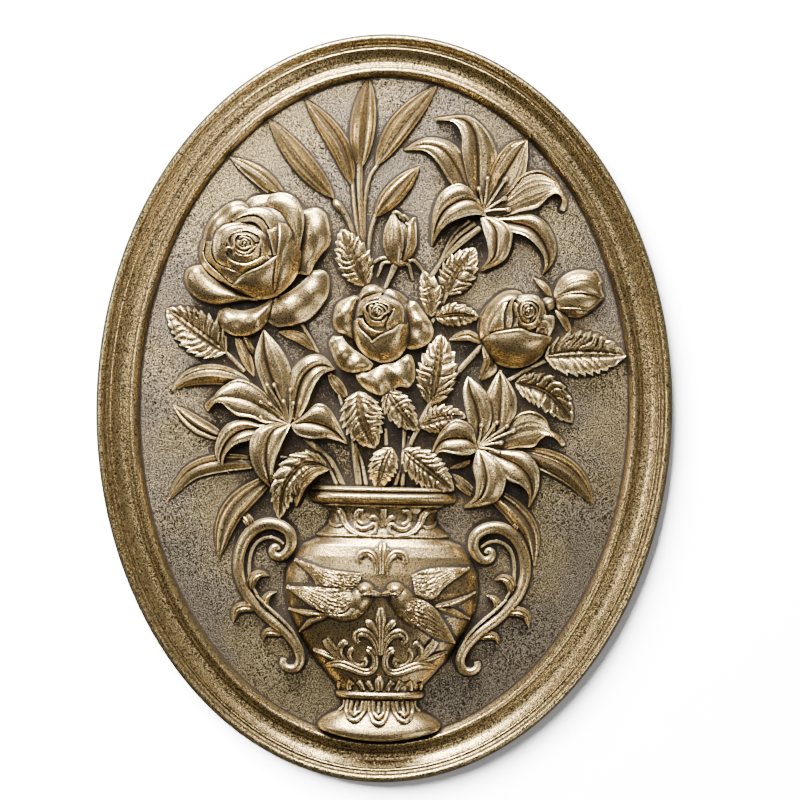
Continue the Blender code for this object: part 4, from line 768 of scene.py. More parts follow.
def small_rose():
    """Open rose in the middle of the bunch, with rippled outer petals."""
    clay = Clay("rose_small")
    dome(clay, -3, 46, 19, 19, 2, 12)
    fold(clay, [(-14, 60, 8), (-12.5, 63.6), (-9, 65.6), (-5, 65.4), (-2, 63), (-0.6, 61)],
         [(-13.4, 57.6, 9), (-10.6, 58.6, 9.4), (-8, 59, 9.6), (-5.6, 59.4), (-3.6, 60.4, 9.4),
          (-2, 60.6, 9)],
         bulge=2.6, lips=(0.3, 0), ripple=0.3, ripples=2)
    fold(clay, [(-1, 62.6, 7), (2, 63.6), (5.4, 61.6), (8, 57.6), (9.4, 52), (10, 47)],
         [(-1.6, 59.6, 8), (1, 58.6), (3.6, 57.4), (5.6, 54.6), (6.4, 51), (7, 47)],
         bulge=1.8, lips=(0.3, 0))
    fold(clay, [(-16.6, 60, 8), (-21.6, 58, 8.4), (-26, 55.2), (-27.4, 50.6), (-28, 45.6), (-26, 41),
                (-21, 38.8, 8), (-17, 36.6)],
         [(-14.6, 58.6, 8.6), (-15.4, 56, 9), (-15.8, 53), (-16.2, 50), (-16.6, 47), (-17, 44), (-17, 41),
          (-16.6, 38, 8.6)],
         bulge=3.6, lips=(0.2, 0), ripple=1.3, ripples=2.1)
    fold(clay, [(12.6, 57.4, 8), (16, 56.8, 8.4), (19.4, 52.6), (23.4, 47), (25.6, 42), (24.4, 37),
                (20.4, 33.4, 8), (14, 31.6), (10.6, 33)],
         [(10.8, 52.4, 9), (11.6, 50, 9.4), (12.4, 47.4, 9.6), (12.8, 44.6, 9.8), (12.8, 42),
          (12.4, 39.6, 9.6), (11.8, 37.4, 9.4), (11.4, 35.4, 9.2), (11, 34, 9)],
         bulge=3.4, lips=(0.3, 0), ripple=1.2, ripples=2.6)
    fold(clay, [(-28, 38, 8.6), (-30, 34, 9), (-27.6, 27.4), (-24.4, 21.4), (-18.6, 18.8), (-12.4, 19.2),
                (-7.4, 20.6, 8.6)],
         [(-23, 37.8, 9.4), (-20.6, 34.4, 10), (-17.8, 31.8), (-14.6, 29.6), (-11.4, 27.6), (-8.6, 25.6),
          (-6.2, 23.4, 9.6)],
         bulge=3.4, lips=(0.2, 0), ripple=1.3, ripples=2.8)
    fold(clay, [(-15.4, 17.2, 8), (-13.6, 13.4, 8.4), (-8.6, 9.2, 8.6), (-2, 7, 9), (3.6, 9.4), (8, 11.6),
                (13, 11.4), (16, 16), (15.8, 23.6), (13.8, 28.4, 8.6)],
         [(-12.4, 18.8, 8.6), (-9.6, 18.6, 9.4), (-6, 20.4, 10), (-2.4, 22.6, 10.6), (1, 23.6, 11),
          (4.4, 24), (7, 25.4), (9, 26.8), (10.8, 28, 10.6), (12, 28.8, 10)],
         bulge=3.6, lips=(0.2, 0), ripple=1.2, ripples=3.1)
    # The cup: left side, front, and the rims around the heart
    fold(clay, [(-17.4, 46, 10), (-17.2, 39), (-14.6, 32.6), (-10.6, 28), (-6, 25.6), (-1, 24.4)],
         [(-15.4, 46.8, 14), (-13.8, 42.6, 15), (-10.8, 39.6, 16), (-8.4, 37.4, 16.4), (-6.8, 35, 16),
          (-5, 32, 15)],
         bulge=2.6, lips=(0, 0.9), sharp=0.4)
    fold(clay, [(-7, 26, 11), (-1.6, 24.2, 10.6), (4, 25.2), (8.6, 28.4), (11.6, 33.6), (12.6, 40),
                (12, 46, 11)],
         [(-7.6, 34.4, 15), (-4.6, 37.4, 17.6), (-0.6, 39.6, 19), (3.4, 41.4, 19.8), (6.6, 44, 20),
          (9, 44.8, 19.6), (11, 43.8, 18)],
         bulge=3.2, lips=(0, 0.9), sharp=0.35)
    fold(clay, [(-15.6, 47.4, 12.6), (-14.2, 43, 13.2), (-11.2, 39.8, 13.8), (-7, 37, 14),
                (-2, 38.4, 14.4)],
         [(-12.4, 47.6, 15), (-10.8, 44.6, 15.6), (-8, 42.2, 16), (-4.6, 40.8, 16.4), (-1, 41)],
         bulge=0.4, lips=(0, 0.8))
    fold(clay, [(-15.2, 49, 12.6), (-14.6, 54, 12.8), (-12, 57.8, 13), (-7.6, 60, 13.2),
                (-2.6, 61.4, 13.4)],
         [(-12.4, 49.4, 15.2), (-11.6, 53.4, 15.6), (-9, 56.4, 16), (-5.6, 58, 16.2), (-2.8, 58.6, 16)],
         bulge=0.6, lips=(0, 0.9))
    fold(clay, [(-3.6, 60.6, 13.2), (0.6, 58.8, 13.4), (5, 57.6, 13.2), (8.6, 54.6, 13), (9.8, 50),
                (9.4, 44.6, 13.4)],
         [(-3.4, 57.8, 16), (-0.4, 56), (3, 54.6, 15.8), (5.2, 52.4, 15.6), (6.2, 49.2), (6.2, 45.8, 16)],
         bulge=0.6, lips=(0.4, 0.8))
    fold(clay, [(0.6, 42, 15.4), (4.4, 41.8, 15.6), (7.6, 44.6, 15.4), (8.2, 49, 15), (6.6, 53.2, 14.6)],
         [(0.6, 45, 17), (1.8, 47.6), (3, 49.8, 16.8), (3.8, 51.4, 16.4), (4.4, 53, 16)],
         bulge=0.9, lips=(0.2, 0.7))
    dome(clay, -4.2, 50.6, 9.4, 8.4, 9, 14.8)
    whorl(clay, -4.4, 51.4, [(8.6, 7.6), (6.2, 5.4), (4.2, 3.6), (2.5, 2.1), (1.2, 1.0)],
          16.4, start=330, wobble=0.1)


def opening_rose():
    """Half-open rose on the right, seen from its side."""
    clay = Clay("rose_opening")
    dome(clay, 68, 44, 19, 18, 2, 12)
    fold(clay, [(50.6, 37.6, 7), (50.4, 45), (53.4, 53.6), (58.6, 60.4), (64.6, 63.8), (70.6, 63.6),
                (74, 60.6)],
         [(55, 38, 12), (56, 45), (59, 51.6, 12.6), (62.6, 56.4, 13), (66.4, 58.6), (69.6, 58.6, 12.6),
          (71.6, 56.6, 12)],
         bulge=2.2, lips=(0.8, 0))
    fold(clay, [(55, 41.6, 12), (57.6, 50, 12.6), (62, 56.6, 13), (64.6, 57.4, 13.4)],
         [(63, 43, 13.6), (62.6, 47, 14.4), (62.8, 52, 14.6), (64, 56.4, 14)],
         bulge=0.8, lips=(0.2, 0.8))
    fold(clay, [(63.4, 43.4, 13), (63.6, 49), (65, 55), (66.6, 59.6)],
         [(66.4, 44, 14.4), (67.4, 49, 15), (67, 54.6, 15.4), (68.4, 60.4, 15)],
         bulge=0.6, lips=(0.2, 0.8))
    fold(clay, [(66.6, 44, 13), (68.4, 50), (68.6, 55.6), (70.4, 61)],
         [(70, 44.6, 15), (70.4, 50, 15.4), (70.6, 56, 15.6), (73.6, 60.6, 15)],
         bulge=0.6, lips=(0.1, 0.6))
    fold(clay, [(71.4, 61.2, 12), (76, 61.8, 12.4), (80.6, 61), (82.6, 57.6, 12), (84, 53)],
         [(73, 58.6, 14), (76.6, 58.8, 14.6), (79.6, 58), (80.8, 55.6, 14.4), (81, 52.6, 14)],
         bulge=0.8, lips=(0.7, 0))
    dome(clay, 76, 52, 9.4, 9.4, 8, 14.2)
    whorl(clay, 75.8, 52.6, [(8.4, 9.2), (6.0, 6.8), (4.1, 4.6), (2.5, 2.8), (1.3, 1.4)],
          15.8, start=150, way=1, wobble=0.06)
    fold(clay, [(89.6, 50.6, 10), (90, 46), (88.6, 42), (87, 39.6)],
         [(82, 51.6, 12), (82.4, 48, 12.4), (82, 44), (80.6, 41.4, 12)],
         bulge=1.2, lips=(0.5, 0))
    fold(clay, [(80.6, 44, 13), (82.4, 47.4, 13.6), (85.4, 48), (88.4, 45.6, 13)],
         [(80, 41.4, 13), (82, 43.6, 13.4), (84.6, 44), (87, 42, 13)],
         bulge=0.8, lips=(0.8, 0))
    fold(clay, [(51.6, 36.6, 6), (54.6, 30), (60, 24.8), (68, 22.6), (76.6, 24.2), (83.6, 29.4),
                (88.6, 37.4)],
         [(52, 37.6, 11), (56.6, 40.6, 15), (63, 42.2, 17), (71.4, 43.4, 18), (77, 41.4, 17),
          (83, 40.4, 15), (88.4, 39.2, 11)],
         bulge=5.0, lips=(0, 0.8), sharp=0.4)
    small = dict(dome=1.2, valley=0.5, rim=0.5, rib=0.2)
    blade(clay, [(51.6, 35.6, 6), (44, 39.6, 7), (34.4, 37.2, 4)], 2.7, **small)
    blade(clay, [(52, 34.4, 6), (55, 26, 7), (50.6, 16.6, 4)], 2.4, **small)
    fold(clay, [(52.6, 33, 5), (56.4, 28), (60, 22.6), (57.6, 18.6, 4.4), (52.6, 15.8, 4)],
         [(53, 32.6, 6), (54.6, 27, 6.4), (54.4, 22), (53, 18.6, 6), (51, 16, 4.4)],
         bulge=0.7, lips=(0.4, 0.3))


def buds():
    """The two closed buds with their sepals."""
    clay = Clay("buds")
    dome(clay, 7, 90.6, 13.6, 9.8, 0, 9.4, turn=90)
    petal(clay, [(2.4, 77.6, 6), (-2, 86, 7.6), (-1.4, 95.6, 8), (2.4, 103.6, 7)],
          [(4.6, 77.2, 8.4), (3, 87, 11), (3, 96), (4, 104.2, 8)],
          [(7, 77.6, 8), (8.8, 86, 10), (8.6, 94), (5.6, 101, 8.4)],
          puff=1.0, crease=-0.5)
    petal(clay, [(7.2, 78, 6.6), (9.2, 85, 8), (9.6, 92), (10.4, 99.6, 7)],
          [(9, 78, 7.4), (12, 86, 9.6), (12.4, 93, 9.4), (12.6, 100.6, 7)],
          [(11, 78.8, 5), (15.4, 86, 6.4), (15.8, 94), (14.8, 101.4, 5)],
          puff=0.9, crease=-0.4)
    for knots in (
        [(3, 103.8, 8, 0.9), (5, 104.6, 8.4, 1.0), (7.4, 102.6, 8.4, 0.9), (9, 100, 8, 0.7)],
        [(6.4, 101.6, 8, 0.8), (8.6, 102.8), (11, 100.6, 8, 0.7)],
        [(9.6, 99.4, 7.4, 0.7), (12, 97.4, 8, 0.8), (13.8, 101, 7, 0.9), (15, 101.2, 6, 0.8)],
        [(2.6, 78.6, 5, 0.9), (-1.4, 80.4, 4.6, 0.8), (-5, 79, 4), (-9.4, 75.8, 3, 0.5)],
        [(2, 78, 5, 0.8), (-2, 77.4, 4.4), (-3.4, 74, 4, 0.7), (-4.8, 70.4, 3, 0.5)],
        [(11.6, 78.6, 5, 0.9), (14.4, 79.2, 4.4, 0.8), (17.4, 76.4, 4, 0.7), (19.6, 73.4, 3, 0.5)],
        [(9.6, 77.6, 5, 0.8), (12, 76.4, 4.4), (13, 72.6, 4, 0.7), (14.2, 68.8, 3, 0.5)],
    ):
        bar(clay, knots, columns=9)
    dome(clay, 6.6, 78, 4.4, 2.2, 3, 8)
    dome(clay, 102.6, 63.4, 13.4, 11.6, 0, 8.6, turn=5)
    petal(clay, [(89.4, 63, 6), (93, 71, 6.4), (101, 75.4), (110, 74.6, 6), (114.6, 70.6, 5)],
          [(89.6, 61.6, 7), (97, 68, 10), (105, 70.6, 10.4), (111, 69, 9), (114.6, 66.6, 6)],
          [(90, 60.4, 7), (96, 62.4, 9), (103, 63.4, 10), (110, 62.2, 9), (115.6, 60.6, 6)],
          puff=1.4, crease=-0.6)
    petal(clay, [(90.4, 60.4, 7), (96, 62.6, 9), (103, 63.2, 9.6), (110, 62, 8.6), (115.8, 60.2, 5.4)],
          [(91, 57.4, 7), (97.6, 58.4, 9.4), (104.6, 58.6, 9.6), (110, 58, 8.4), (114.6, 59.4, 5.4)],
          [(91.6, 54.8, 6), (97, 54.8, 8), (103, 54.6), (108, 54, 6.6), (113, 57.6, 5)],
          puff=0.9, crease=-0.4)
    petal(clay, [(91.6, 55.4, 6), (97, 55.4, 7.6), (102.6, 55), (108.4, 53.4, 5)],
          [(92.6, 53.6, 5), (97.6, 53, 6.6), (102.6, 52.4), (108, 53, 5)],
          [(94, 52, 3.6), (98.6, 50.4, 4), (103.6, 50.6), (107.6, 52.6)],
          puff=0.6, crease=-0.3)
    for knots in (
        [(110.6, 75.4, 6, 0.9), (112.8, 73), (114.6, 69)],
        [(110.4, 63.6, 8, 0.6), (112.6, 66, 7.4, 0.7), (113.8, 69, 6.4)],
        [(112, 64.6, 7, 0.7), (114.6, 64, 6.4, 0.8), (116, 61.4, 5.4, 0.7)],
    ):
        bar(clay, knots, columns=9)
    dome(clay, 86.8, 57.4, 4.8, 3.9, 0, 9.4, turn=25)
    sepal = dict(dome=1.2, valley=0.3, rim=0.5, rib=0.3)
    blade(clay, [(88.4, 60.8, 5), (84.4, 66.4, 5.4), (79, 71, 3)], 1.8, **sepal)
    blade(clay, [(90.6, 53.8, 5), (95, 49, 5.4), (99.4, 41, 3)], 2.1, **sepal)


# Urn

URN_AXIS_X = 0.3
URN_ROUNDNESS = 2.3
URN_COLUMNS = 75
URN_SINK = 0.6
# How much bolder the ornament's bars are than drawn, and how square their tops
ORNAMENT_SHARE = 1.25
ORNAMENT_FULLNESS = 0.7
# Stations from the lip down: z, half width, rise in the middle, sag of the line in the middle
URN_PROFILE = [
    (-42.2, 37.6, 15.0, 0.0), (-42.6, 38.2, 16.0), (-43.3, 38.5, 16.5), (-44.0, 38.2, 16.0),
    (-44.4, 37.6, 14.6), (-44.9, 37.6, 14.6), (-45.6, 38.7, 16.2), (-46.8, 39.2, 17.2),
    (-48.2, 39.3, 17.4), (-49.4, 38.8, 16.6), (-50.4, 37.2, 14.8), (-51.2, 32.0, 13.0),
    (-51.8, 32.4, 13.9), (-52.5, 32.0, 13.7), (-53.0, 29.2, 12.2), (-56.0, 28.2, 11.7),
    (-60.0, 28.4, 11.8), (-63.0, 29.8, 12.4), (-66.4, 33.6, 13.8), (-67.1, 34.2, 13.8),
    (-67.6, 35.4, 15.2), (-68.6, 35.4, 15.2), (-69.2, 34.8, 14.0), (-70.0, 35.6, 14.6),
    (-73.0, 42.5, 16.8), (-79.0, 48.0, 18.8), (-88.0, 51.4, 20.4), (-98.0, 52.0, 20.8),
    (-108.0, 50.2, 20.2), (-119.0, 45.4, 18.6), (-130.0, 38.8, 16.6), (-140.0, 30.5, 14.2),
    (-150.0, 21.8, 11.4), (-150.6, 21.6, 11.2, 0.1), (-151.2, 23.2, 13.0, 0.2), (-152.8, 23.9, 13.9),
    (-154.4, 23.2, 13.0), (-155.0, 21.0, 11.4), (-155.8, 20.0, 10.9), (-158.5, 19.4, 10.6, 0.4),
    (-161.5, 21.8, 11.6, 0.8), (-164.0, 27.4, 13.4, 1.4), (-166.5, 31.2, 15.2, 2.2),
    (-168.4, 32.8, 16.6, 3.2), (-169.6, 33.2, 17.2, 3.8), (-171.4, 32.8, 16.4, 4.6),
    (-172.2, 31.6, 14.0, 4.8), (-172.8, 29.6, 10.0),
]


def mirrored(knots):
    """The same line on the other side of the urn's axis."""
    return [(2 * URN_AXIS_X - x, *rest) for x, *rest in knots]


def urn_bow(share):
    """Rise of the urn's round front at a share of its half width, as a share of the middle's."""
    return np.clip(1 - np.abs(share) ** URN_ROUNDNESS, 0, 1) ** (1 / URN_ROUNDNESS)


def urn_rise(x, z):
    """Rise of the urn's surface at a drawn point."""
    down, half_width, middle, _ = (filled(URN_PROFILE) * (-1, 1, 1, 1)).T
    share = min(1.0, abs(x - URN_AXIS_X) / np.interp(-z, down, half_width))
    return float(np.interp(-z, down, middle) * urn_bow(share))


def on_urn(knots, lift=0.0):
    """Lay a line of (x, z, radius) on the urn, raised by lift."""
    return [(x, z, urn_rise(x, z) + lift, ORNAMENT_SHARE * radius) for x, z, radius in filled(knots)]


def urn():
    """The urn's round body, from lip to foot."""
    clay = Clay("urn")
    profile = filled(URN_PROFILE)
    down = -profile[:, 0]
    fine = np.append(np.arange(down[0], down[-1], URN_STEP), down[-1])
    stations = np.stack([np.interp(fine, down, column) for column in profile.T], axis=1)
    for column in (1, 2, 3):
        padded = np.pad(stations[:, column], 1, mode="edge")
        stations[:, column] = np.convolve(padded, (0.25, 0.5, 0.25), mode="valid")
    z, half_width, middle, sag = (stations[:, column:column + 1] for column in range(4))
    share = spaced(URN_COLUMNS)
    grid = np.zeros((len(fine), len(share), 3))
    grid[:, :, 0] = URN_AXIS_X + half_width * share
    grid[:, :, 1] = z - sag * (1 - share**2)
    grid[:, :, 2] = middle * urn_bow(share) - URN_SINK
    clay.form(grid, tuck=0.5, lip=0.3)


def urn_ornament():
    """Palmette and scrolls on the belly, crest on the shoulder, scrolls on the neck, loops on the foot."""
    clay = Clay("urn_ornament")
    middles = [
        ([(0.3, -131, 0.9), (0.3, -124, 1.3), (0.3, -117, 1.7), (0.3, -110, 2.3),
          (0.3, -105.6, 1.2)], 0.4),
        ([(0.5, -87.6, 1.4), (0.5, -80, 1.5), (0.5, -75, 2.3), (0.5, -71.4, 1.7)], 0.35),
        ([(0.7, -63, 0.6), (0.7, -59, 1.1), (0.7, -53.6, 1.5)], 0.3),
        ([(0.0, -150.4, 1.4), (0.0, -147, 2.0), (0.0, -144.6, 1.8), (0.0, -142.6, 0.7)], 0.3),
    ]
    for knots, groove in middles:
        bar(clay, on_urn(knots), groove=groove, fullness=ORNAMENT_FULLNESS)
    pairs = [
        ([(-1, -121.5, 0.9), (-3.4, -116.4, 1.4), (-6, -113.8, 1.6), (-7.6, -113.4, 1.1)], 0.0),
        ([(-17.6, -135.6, 0.8), (-22, -131.6, 1.5), (-26.4, -126.6, 2.0), (-28.8, -123, 1.7)], 0.3),
        ([(-16.6, -135.4, 0.7), (-20.6, -131.4, 1.1), (-21, -127.4, 1.4), (-19, -124.6, 1.5),
          (-17.4, -125.4, 0.9)], 0.0),
        ([(-18, -134.6, 0.7), (-25, -132.8, 1.2), (-31, -130.4), (-35.4, -129.2, 0.8)], 0.3),
        ([(-0.8, -82, 0.6), (-1.6, -77.8, 0.9), (-3.4, -74.6, 1.1)], 0.0),
        ([(-3.8, -150.2, 1.0), (-4.6, -147.6), (-6.4, -145.4, 1.4)], 0.0),
        ([(-8.4, -150.2, 1.0), (-9.4, -147.6), (-11, -145.4, 1.4)], 0.0),
        ([(-15.8, -150.2, 1.1), (-16.1, -147.6, 1.0), (-14.8, -145.6, 1.5)], 0.0),
        ([(-20.8, -150, 1.0), (-21.4, -148), (-21, -146.4, 1.2)], 0.0),
        ([(-1.0, -130.6, 0.8), (-2.2, -125, 1.3), (-5, -120.8, 1.7), (-8.8, -118.8, 2.0),
          (-12.2, -120, 1.8), (-12.6, -122.8, 1.4), (-11, -124.4, 0.9)], 0.45),
        ([(-30, -138, 0.7), (-26, -136.6, 1.4), (-21, -136, 1.9), (-15, -137.9), (-10, -139.8, 1.7),
          (-6, -140.2, 1.6), (-3.1, -138, 1.5), (-2.3, -134, 1.4), (-3.4, -130.4), (-5.4, -128.4, 1.7),
          (-6.8, -128, 1.3)], 0.4),
        ([(-8.4, -132.8, 1.5), (-7.4, -134.6, 1.1), (-8.6, -136.6, 1.0), (-11.4, -137, 0.9),
          (-14.6, -135), (-16.2, -131.6), (-15.6, -128.8, 1.0), (-14.2, -127.8, 0.8)], 0.0),
        ([(-2.6, -88, 0.7), (-2.3, -83.4, 1.1), (-4, -79, 1.5), (-7.2, -76.8, 1.7), (-11, -77.6, 1.6),
          (-12.2, -80.4, 1.4), (-10.8, -82, 0.9)], 0.45),
        ([(-10.2, -54.8, 0.8), (-12.8, -55, 1.0), (-14, -57.6), (-13, -60.4, 0.9),
          (-10.4, -61.8, 0.8)], 0.0),
        ([(-14.2, -60.4, 0.7), (-13.8, -62.8, 0.9), (-11, -64.3, 1.0), (-7.6, -63.8), (-4.6, -62, 1.2),
          (-3, -63.2, 1.1), (-3.6, -65.6, 0.9), (-6, -67.2, 0.6)], 0.0),
        ([(-0.2, -63.2, 0.5), (-2.4, -59.8, 0.9), (-4.6, -58, 1.1), (-6.2, -58.8, 0.8)], 0.0),
        ([(-28.4, -53.8, 0.8), (-23.6, -54.4, 1.4), (-20.9, -57.6, 1.5), (-19.6, -61.4, 1.4),
          (-17, -64.8, 1.2), (-13, -66.9, 0.9), (-8.4, -67.4, 0.5)], 0.35),
        ([(-28, -59.6, 0.6), (-26.6, -62.4, 0.8), (-23.6, -63.4), (-20.8, -62.6, 0.6)], 0.0),
    ]
    for knots, groove in pairs:
        for side in (knots, mirrored(knots)):
            bar(clay, on_urn(side), groove=groove, fullness=ORNAMENT_FULLNESS)
    for middle_x, lean, low_z in ((-11.3, -1.8, -166.2), (0.0, 0.0, -167.4), (11.9, 1.8, -166.2)):
        for half, depth, radius in ((4.9, 0.0, 0.95), (2.9, 2.7, 0.85)):
            loop = [
                (middle_x + half * across + lean * lower, z, radius)
                for across, lower, z in (
                    (-1, 0, -156), (-0.98, 0.6, -161.5), (-0.6, 1, low_z + depth + 1.4),
                    (0, 1, low_z + depth), (0.6, 1, low_z + depth + 1.4), (0.98, 0.6, -161.5),
                    (1, 0, -156),
                )
            ]
            bar(clay, on_urn(loop, -0.1), columns=9)
        drop = [(middle_x, -156.2, 0.7), (middle_x + 0.4 * lean, -159, 0.9),
                (middle_x + 0.8 * lean, -162, 0.8)]
        bar(clay, on_urn(drop, -0.2), columns=9)
    edge = [(-18.3, -156.2, 0.7), (-18.5, -159.4, 0.8), (-21.1, -161.8, 0.7)]
    for side in (edge, mirrored(edge)):
        bar(clay, on_urn(side, -0.1), columns=9)


def handles():
    """Both handles: a scroll that arches over, its inner edge a thin ridge, with leaflets along it."""
    clay = Clay("handles")
    upper = [(-55.2, -76.4, 6.6, 1.2), (-56.2, -75.0, 6.6, 1.5), (-57.8, -75.4, 6.6, 1.7),
             (-58.6, -77.4, 6.6, 1.9), (-57.2, -79.6, 6.6, 2.0), (-53.8, -80.2, 6.6, 2.1),
             (-50.2, -77.6, 7, 2.4), (-48.2, -72.6, 7.6, 2.7), (-49.6, -66.8, 7.8, 2.9),
             (-55.4, -63.2, 7, 3.0), (-63, -63, 6, 3.1), (-70.4, -67.6, 5), (-75, -75.6, 4.4, 3.0),
             (-76.5, -86, 4.2, 2.8), (-74.2, -96, 4.2, 2.6), (-68.5, -105, 4.4, 2.5),
             (-60.5, -112.8, 4.6), (-51.5, -119.7, 5.2), (-45, -127, 5.8), (-42.3, -134, 6, 2.4),
             (-44.2, -139, 5.6, 2.2), (-48.6, -139.9, 5.4, 2.0), (-51.6, -137.6, 5.2, 1.8),
             (-51.4, -134.8, 5, 1.6)]
    inner = [(-52.4, -73.4, 5, 0.6), (-56.6, -70.6, 4.6, 0.8), (-62.4, -70.4, 4, 0.9), (-67.6, -74, 3.4),
             (-70, -80, 3), (-70.6, -88), (-69.4, -95, 3.2, 0.8), (-66.4, -100.6, 3.6, 0.6)]
    rib = [(-66.6, -101, 6.2, 0.5), (-60, -107.4, 6.6, 0.8), (-52.6, -113.8, 7),
           (-46.4, -120.4, 7.4, 0.7), (-42.6, -127.4, 7.6, 0.5)]
    leaflets = [
        ([(-70.6, -65.6, 3.6), (-71.4, -61.4, 4.6), (-76.6, -56.6, 2)], 2.7),
        ([(-69.4, -99, 3), (-68.6, -92.4, 5), (-64.6, -89.6, 4.6), (-60, -90.8, 3)], 2.6),
        ([(-61, -111, 3.4), (-62, -104.4, 5), (-60, -100.8, 4.6), (-56, -99.2, 3)], 2.0),
        ([(-66, -108.6, 3.4), (-72.6, -107.4, 5), (-77.4, -109.6, 4.6), (-78.8, -116, 3)], 2.6),
        ([(-52, -121.8, 4), (-58, -120.4, 5), (-61.6, -121.6, 4.6), (-62.6, -125, 3)], 2.2),
    ]
    for turn in (list, mirrored):
        bar(clay, turn(upper), columns=15)
        bar(clay, turn(inner), columns=7)
        bar(clay, turn(rib), columns=7)
        for knots, half_width in leaflets:
            blade(clay, turn(knots), half_width, dome=1.6, valley=0.5, rim=0.5, rib=0.1, base=0.6)


FEATHERS = 7
SCALE_ROWS = 6
SCALES = 9
WING_COLUMNS = 41
WING_RELIEF = 1.1
WING_DROP = 4.0


def wing(clay, upper, lower, rise, lift):
    """Wing between its two edges: scales near the shoulder, long feathers towards the tip."""
    rows = steps_in(length_of(upper), WING_STEP, 30, 100)
    start, end = (smooth_line([(x, z, rise) for x, z in edge], rows) for edge in (upper, lower))
    across = np.linspace(0, 1, WING_COLUMNS)
    grid = between(start, end, across)
    along = np.linspace(0, 1, rows)[:, None]
    long_ones = np.clip(5 * (along - 0.22 - 0.12 * np.sin(9 * across)), 0, 1)
    drift = 0.5 * np.sin(17 * along + 8 * across) + 0.3 * np.sin(31 * across + 3)
    quills = np.abs(np.sin(np.pi * (FEATHERS * across + 1.1 * along + 0.3 * drift))) ** 0.6
    quills = quills * (0.6 + 0.4 * np.sin(30 * along + 40 * across))
    row = SCALE_ROWS * across + 0.3 * np.sin(14 * along)
    scales = np.abs(np.sin(np.pi * (SCALES * along + 0.5 * np.floor(row) + drift)))
    scales = scales * np.abs(np.sin(np.pi * row)) ** 0.5
    crown = lift * np.sin(np.pi * across) ** 0.6 + 0.6 * bump(across, 0.04, 0.06)
    crown = crown + WING_RELIEF * (long_ones * (quills - 0.5) + (1 - long_ones) * (scales - 0.45))
    swell = (1 - along**3) ** 0.5 * (0.35 + 0.65 * np.clip(8 * along, 0, 1))
    grid[:, :, 2] += crown * swell - WING_DROP * along**2
    clay.form(grid)


def bird(clay, head, belly, neck, brow, beak, far_wing, near_wing, tails):
    """Swallow laid on the urn, its near wing over its body."""
    wing(clay, *far_wing)
    for tail in tails:
        blade(clay, tail, 1.7, dome=1.4, valley=0.3, rim=0.2, rib=0.3, base=0.4)
    fold(clay, *belly, bulge=2.6, lips=(0, 0), sharp=0.3)
    dome(clay, *neck)
    dome(clay, *head)
    wing(clay, *near_wing)
    bar(clay, brow, columns=7)
    bar(clay, beak, columns=9)
    lower_beak = [(x, z - 0.9, rise - 0.6, 0.7 * radius) for x, z, rise, radius in filled(beak)]
    bar(clay, lower_beak, columns=7)


def birds():
    """Two swallows that touch beaks in front of the urn."""
    clay = Clay("swallows")
    bird(clay,
         head=(-8.2, -96.2, 5.0, 4.1, 20.4, 27.0, -12),
         neck=(-11.4, -101.4, 8.0, 6.4, 20.4, 25.6, 52),
         belly=([(-3.8, -99.6, 20.6), (-4.6, -103), (-8, -107.8, 20.4), (-13, -111.8, 20.2),
                 (-19, -113, 20), (-26, -111.2), (-31, -109.6)],
                [(-12, -96, 22), (-13.6, -100, 23), (-15.6, -104.6), (-18.6, -107.6, 22.6),
                 (-22.4, -108.6, 22.4), (-27, -108.6, 21.6), (-31, -108.8, 20.6)]),
         brow=[(-11, -99.2, 25.4, 0.4), (-8.4, -98.2, 27, 0.55), (-5.2, -98.2, 26, 0.45)],
         beak=[(-5, -97.4, 24.4, 1.7), (-2.4, -97.8, 23.8, 1.1), (0.0, -98.4, 22.6, 0.3)],
         far_wing=([(-10, -87.6), (-19, -87), (-30, -85.6), (-38, -83), (-45.8, -80.8)],
                   [(-12.4, -96.4), (-20, -96.6), (-32, -95.6), (-37.4, -89), (-45.8, -81.4)], 21.4, 1.8),
         near_wing=([(-15.6, -96.2), (-25, -95.6), (-38, -95), (-50, -95.2)],
                    [(-15.4, -104.4), (-19.6, -109.2), (-26, -109.4), (-35, -106), (-50, -96)], 23.0, 2.0),
         tails=[[(-27, -109.6, 20.4), (-38, -109, 18.6), (-49, -107.6, 13)],
                [(-28, -110, 20), (-36, -113, 18.4), (-43, -119.4, 14)]])
    bird(clay,
         head=(7.8, -96.0, 5.2, 4.2, 20.4, 27.0, -8),
         neck=(11.4, -101.2, 8.4, 6.2, 20.4, 25.6, -48),
         belly=([(3.0, -99.2, 20.6), (5.0, -103.6), (8.8, -108.8, 20.4), (13.4, -113, 20), (18, -116)],
                [(12.6, -97, 22), (13, -101, 23), (13.6, -105), (15.6, -109, 22.6), (19, -113, 21)]),
         brow=[(10.8, -99.0, 25.4, 0.4), (8, -97.9, 27, 0.55), (5, -97.9, 26, 0.45)],
         beak=[(5, -97.2, 24.4, 1.7), (2.8, -97.6, 23.8, 1.1), (0.6, -98.2, 22.6, 0.3)],
         far_wing=([(16.4, -88), (23, -85.2), (33, -83.8), (46.8, -84)],
                   [(18.4, -98), (24, -100.4), (29, -99.4), (35, -93), (46.8, -84.8)], 21.4, 1.8),
         near_wing=([(12.4, -100.4), (20, -100.4), (28, -104.6), (34, -112.6), (40, -123.4)],
                    [(11.4, -105.6), (15.6, -111.6), (22.4, -116.8), (30, -121), (40, -124.2)], 23.0, 2.0),
         tails=[[(29, -104.6, 20.4), (39, -102.4, 18.6), (50.4, -97.2, 12.6)],
                [(30, -105, 20), (38.6, -107.4, 18.6), (47.6, -111.4, 13.6)]])


# Frame and field

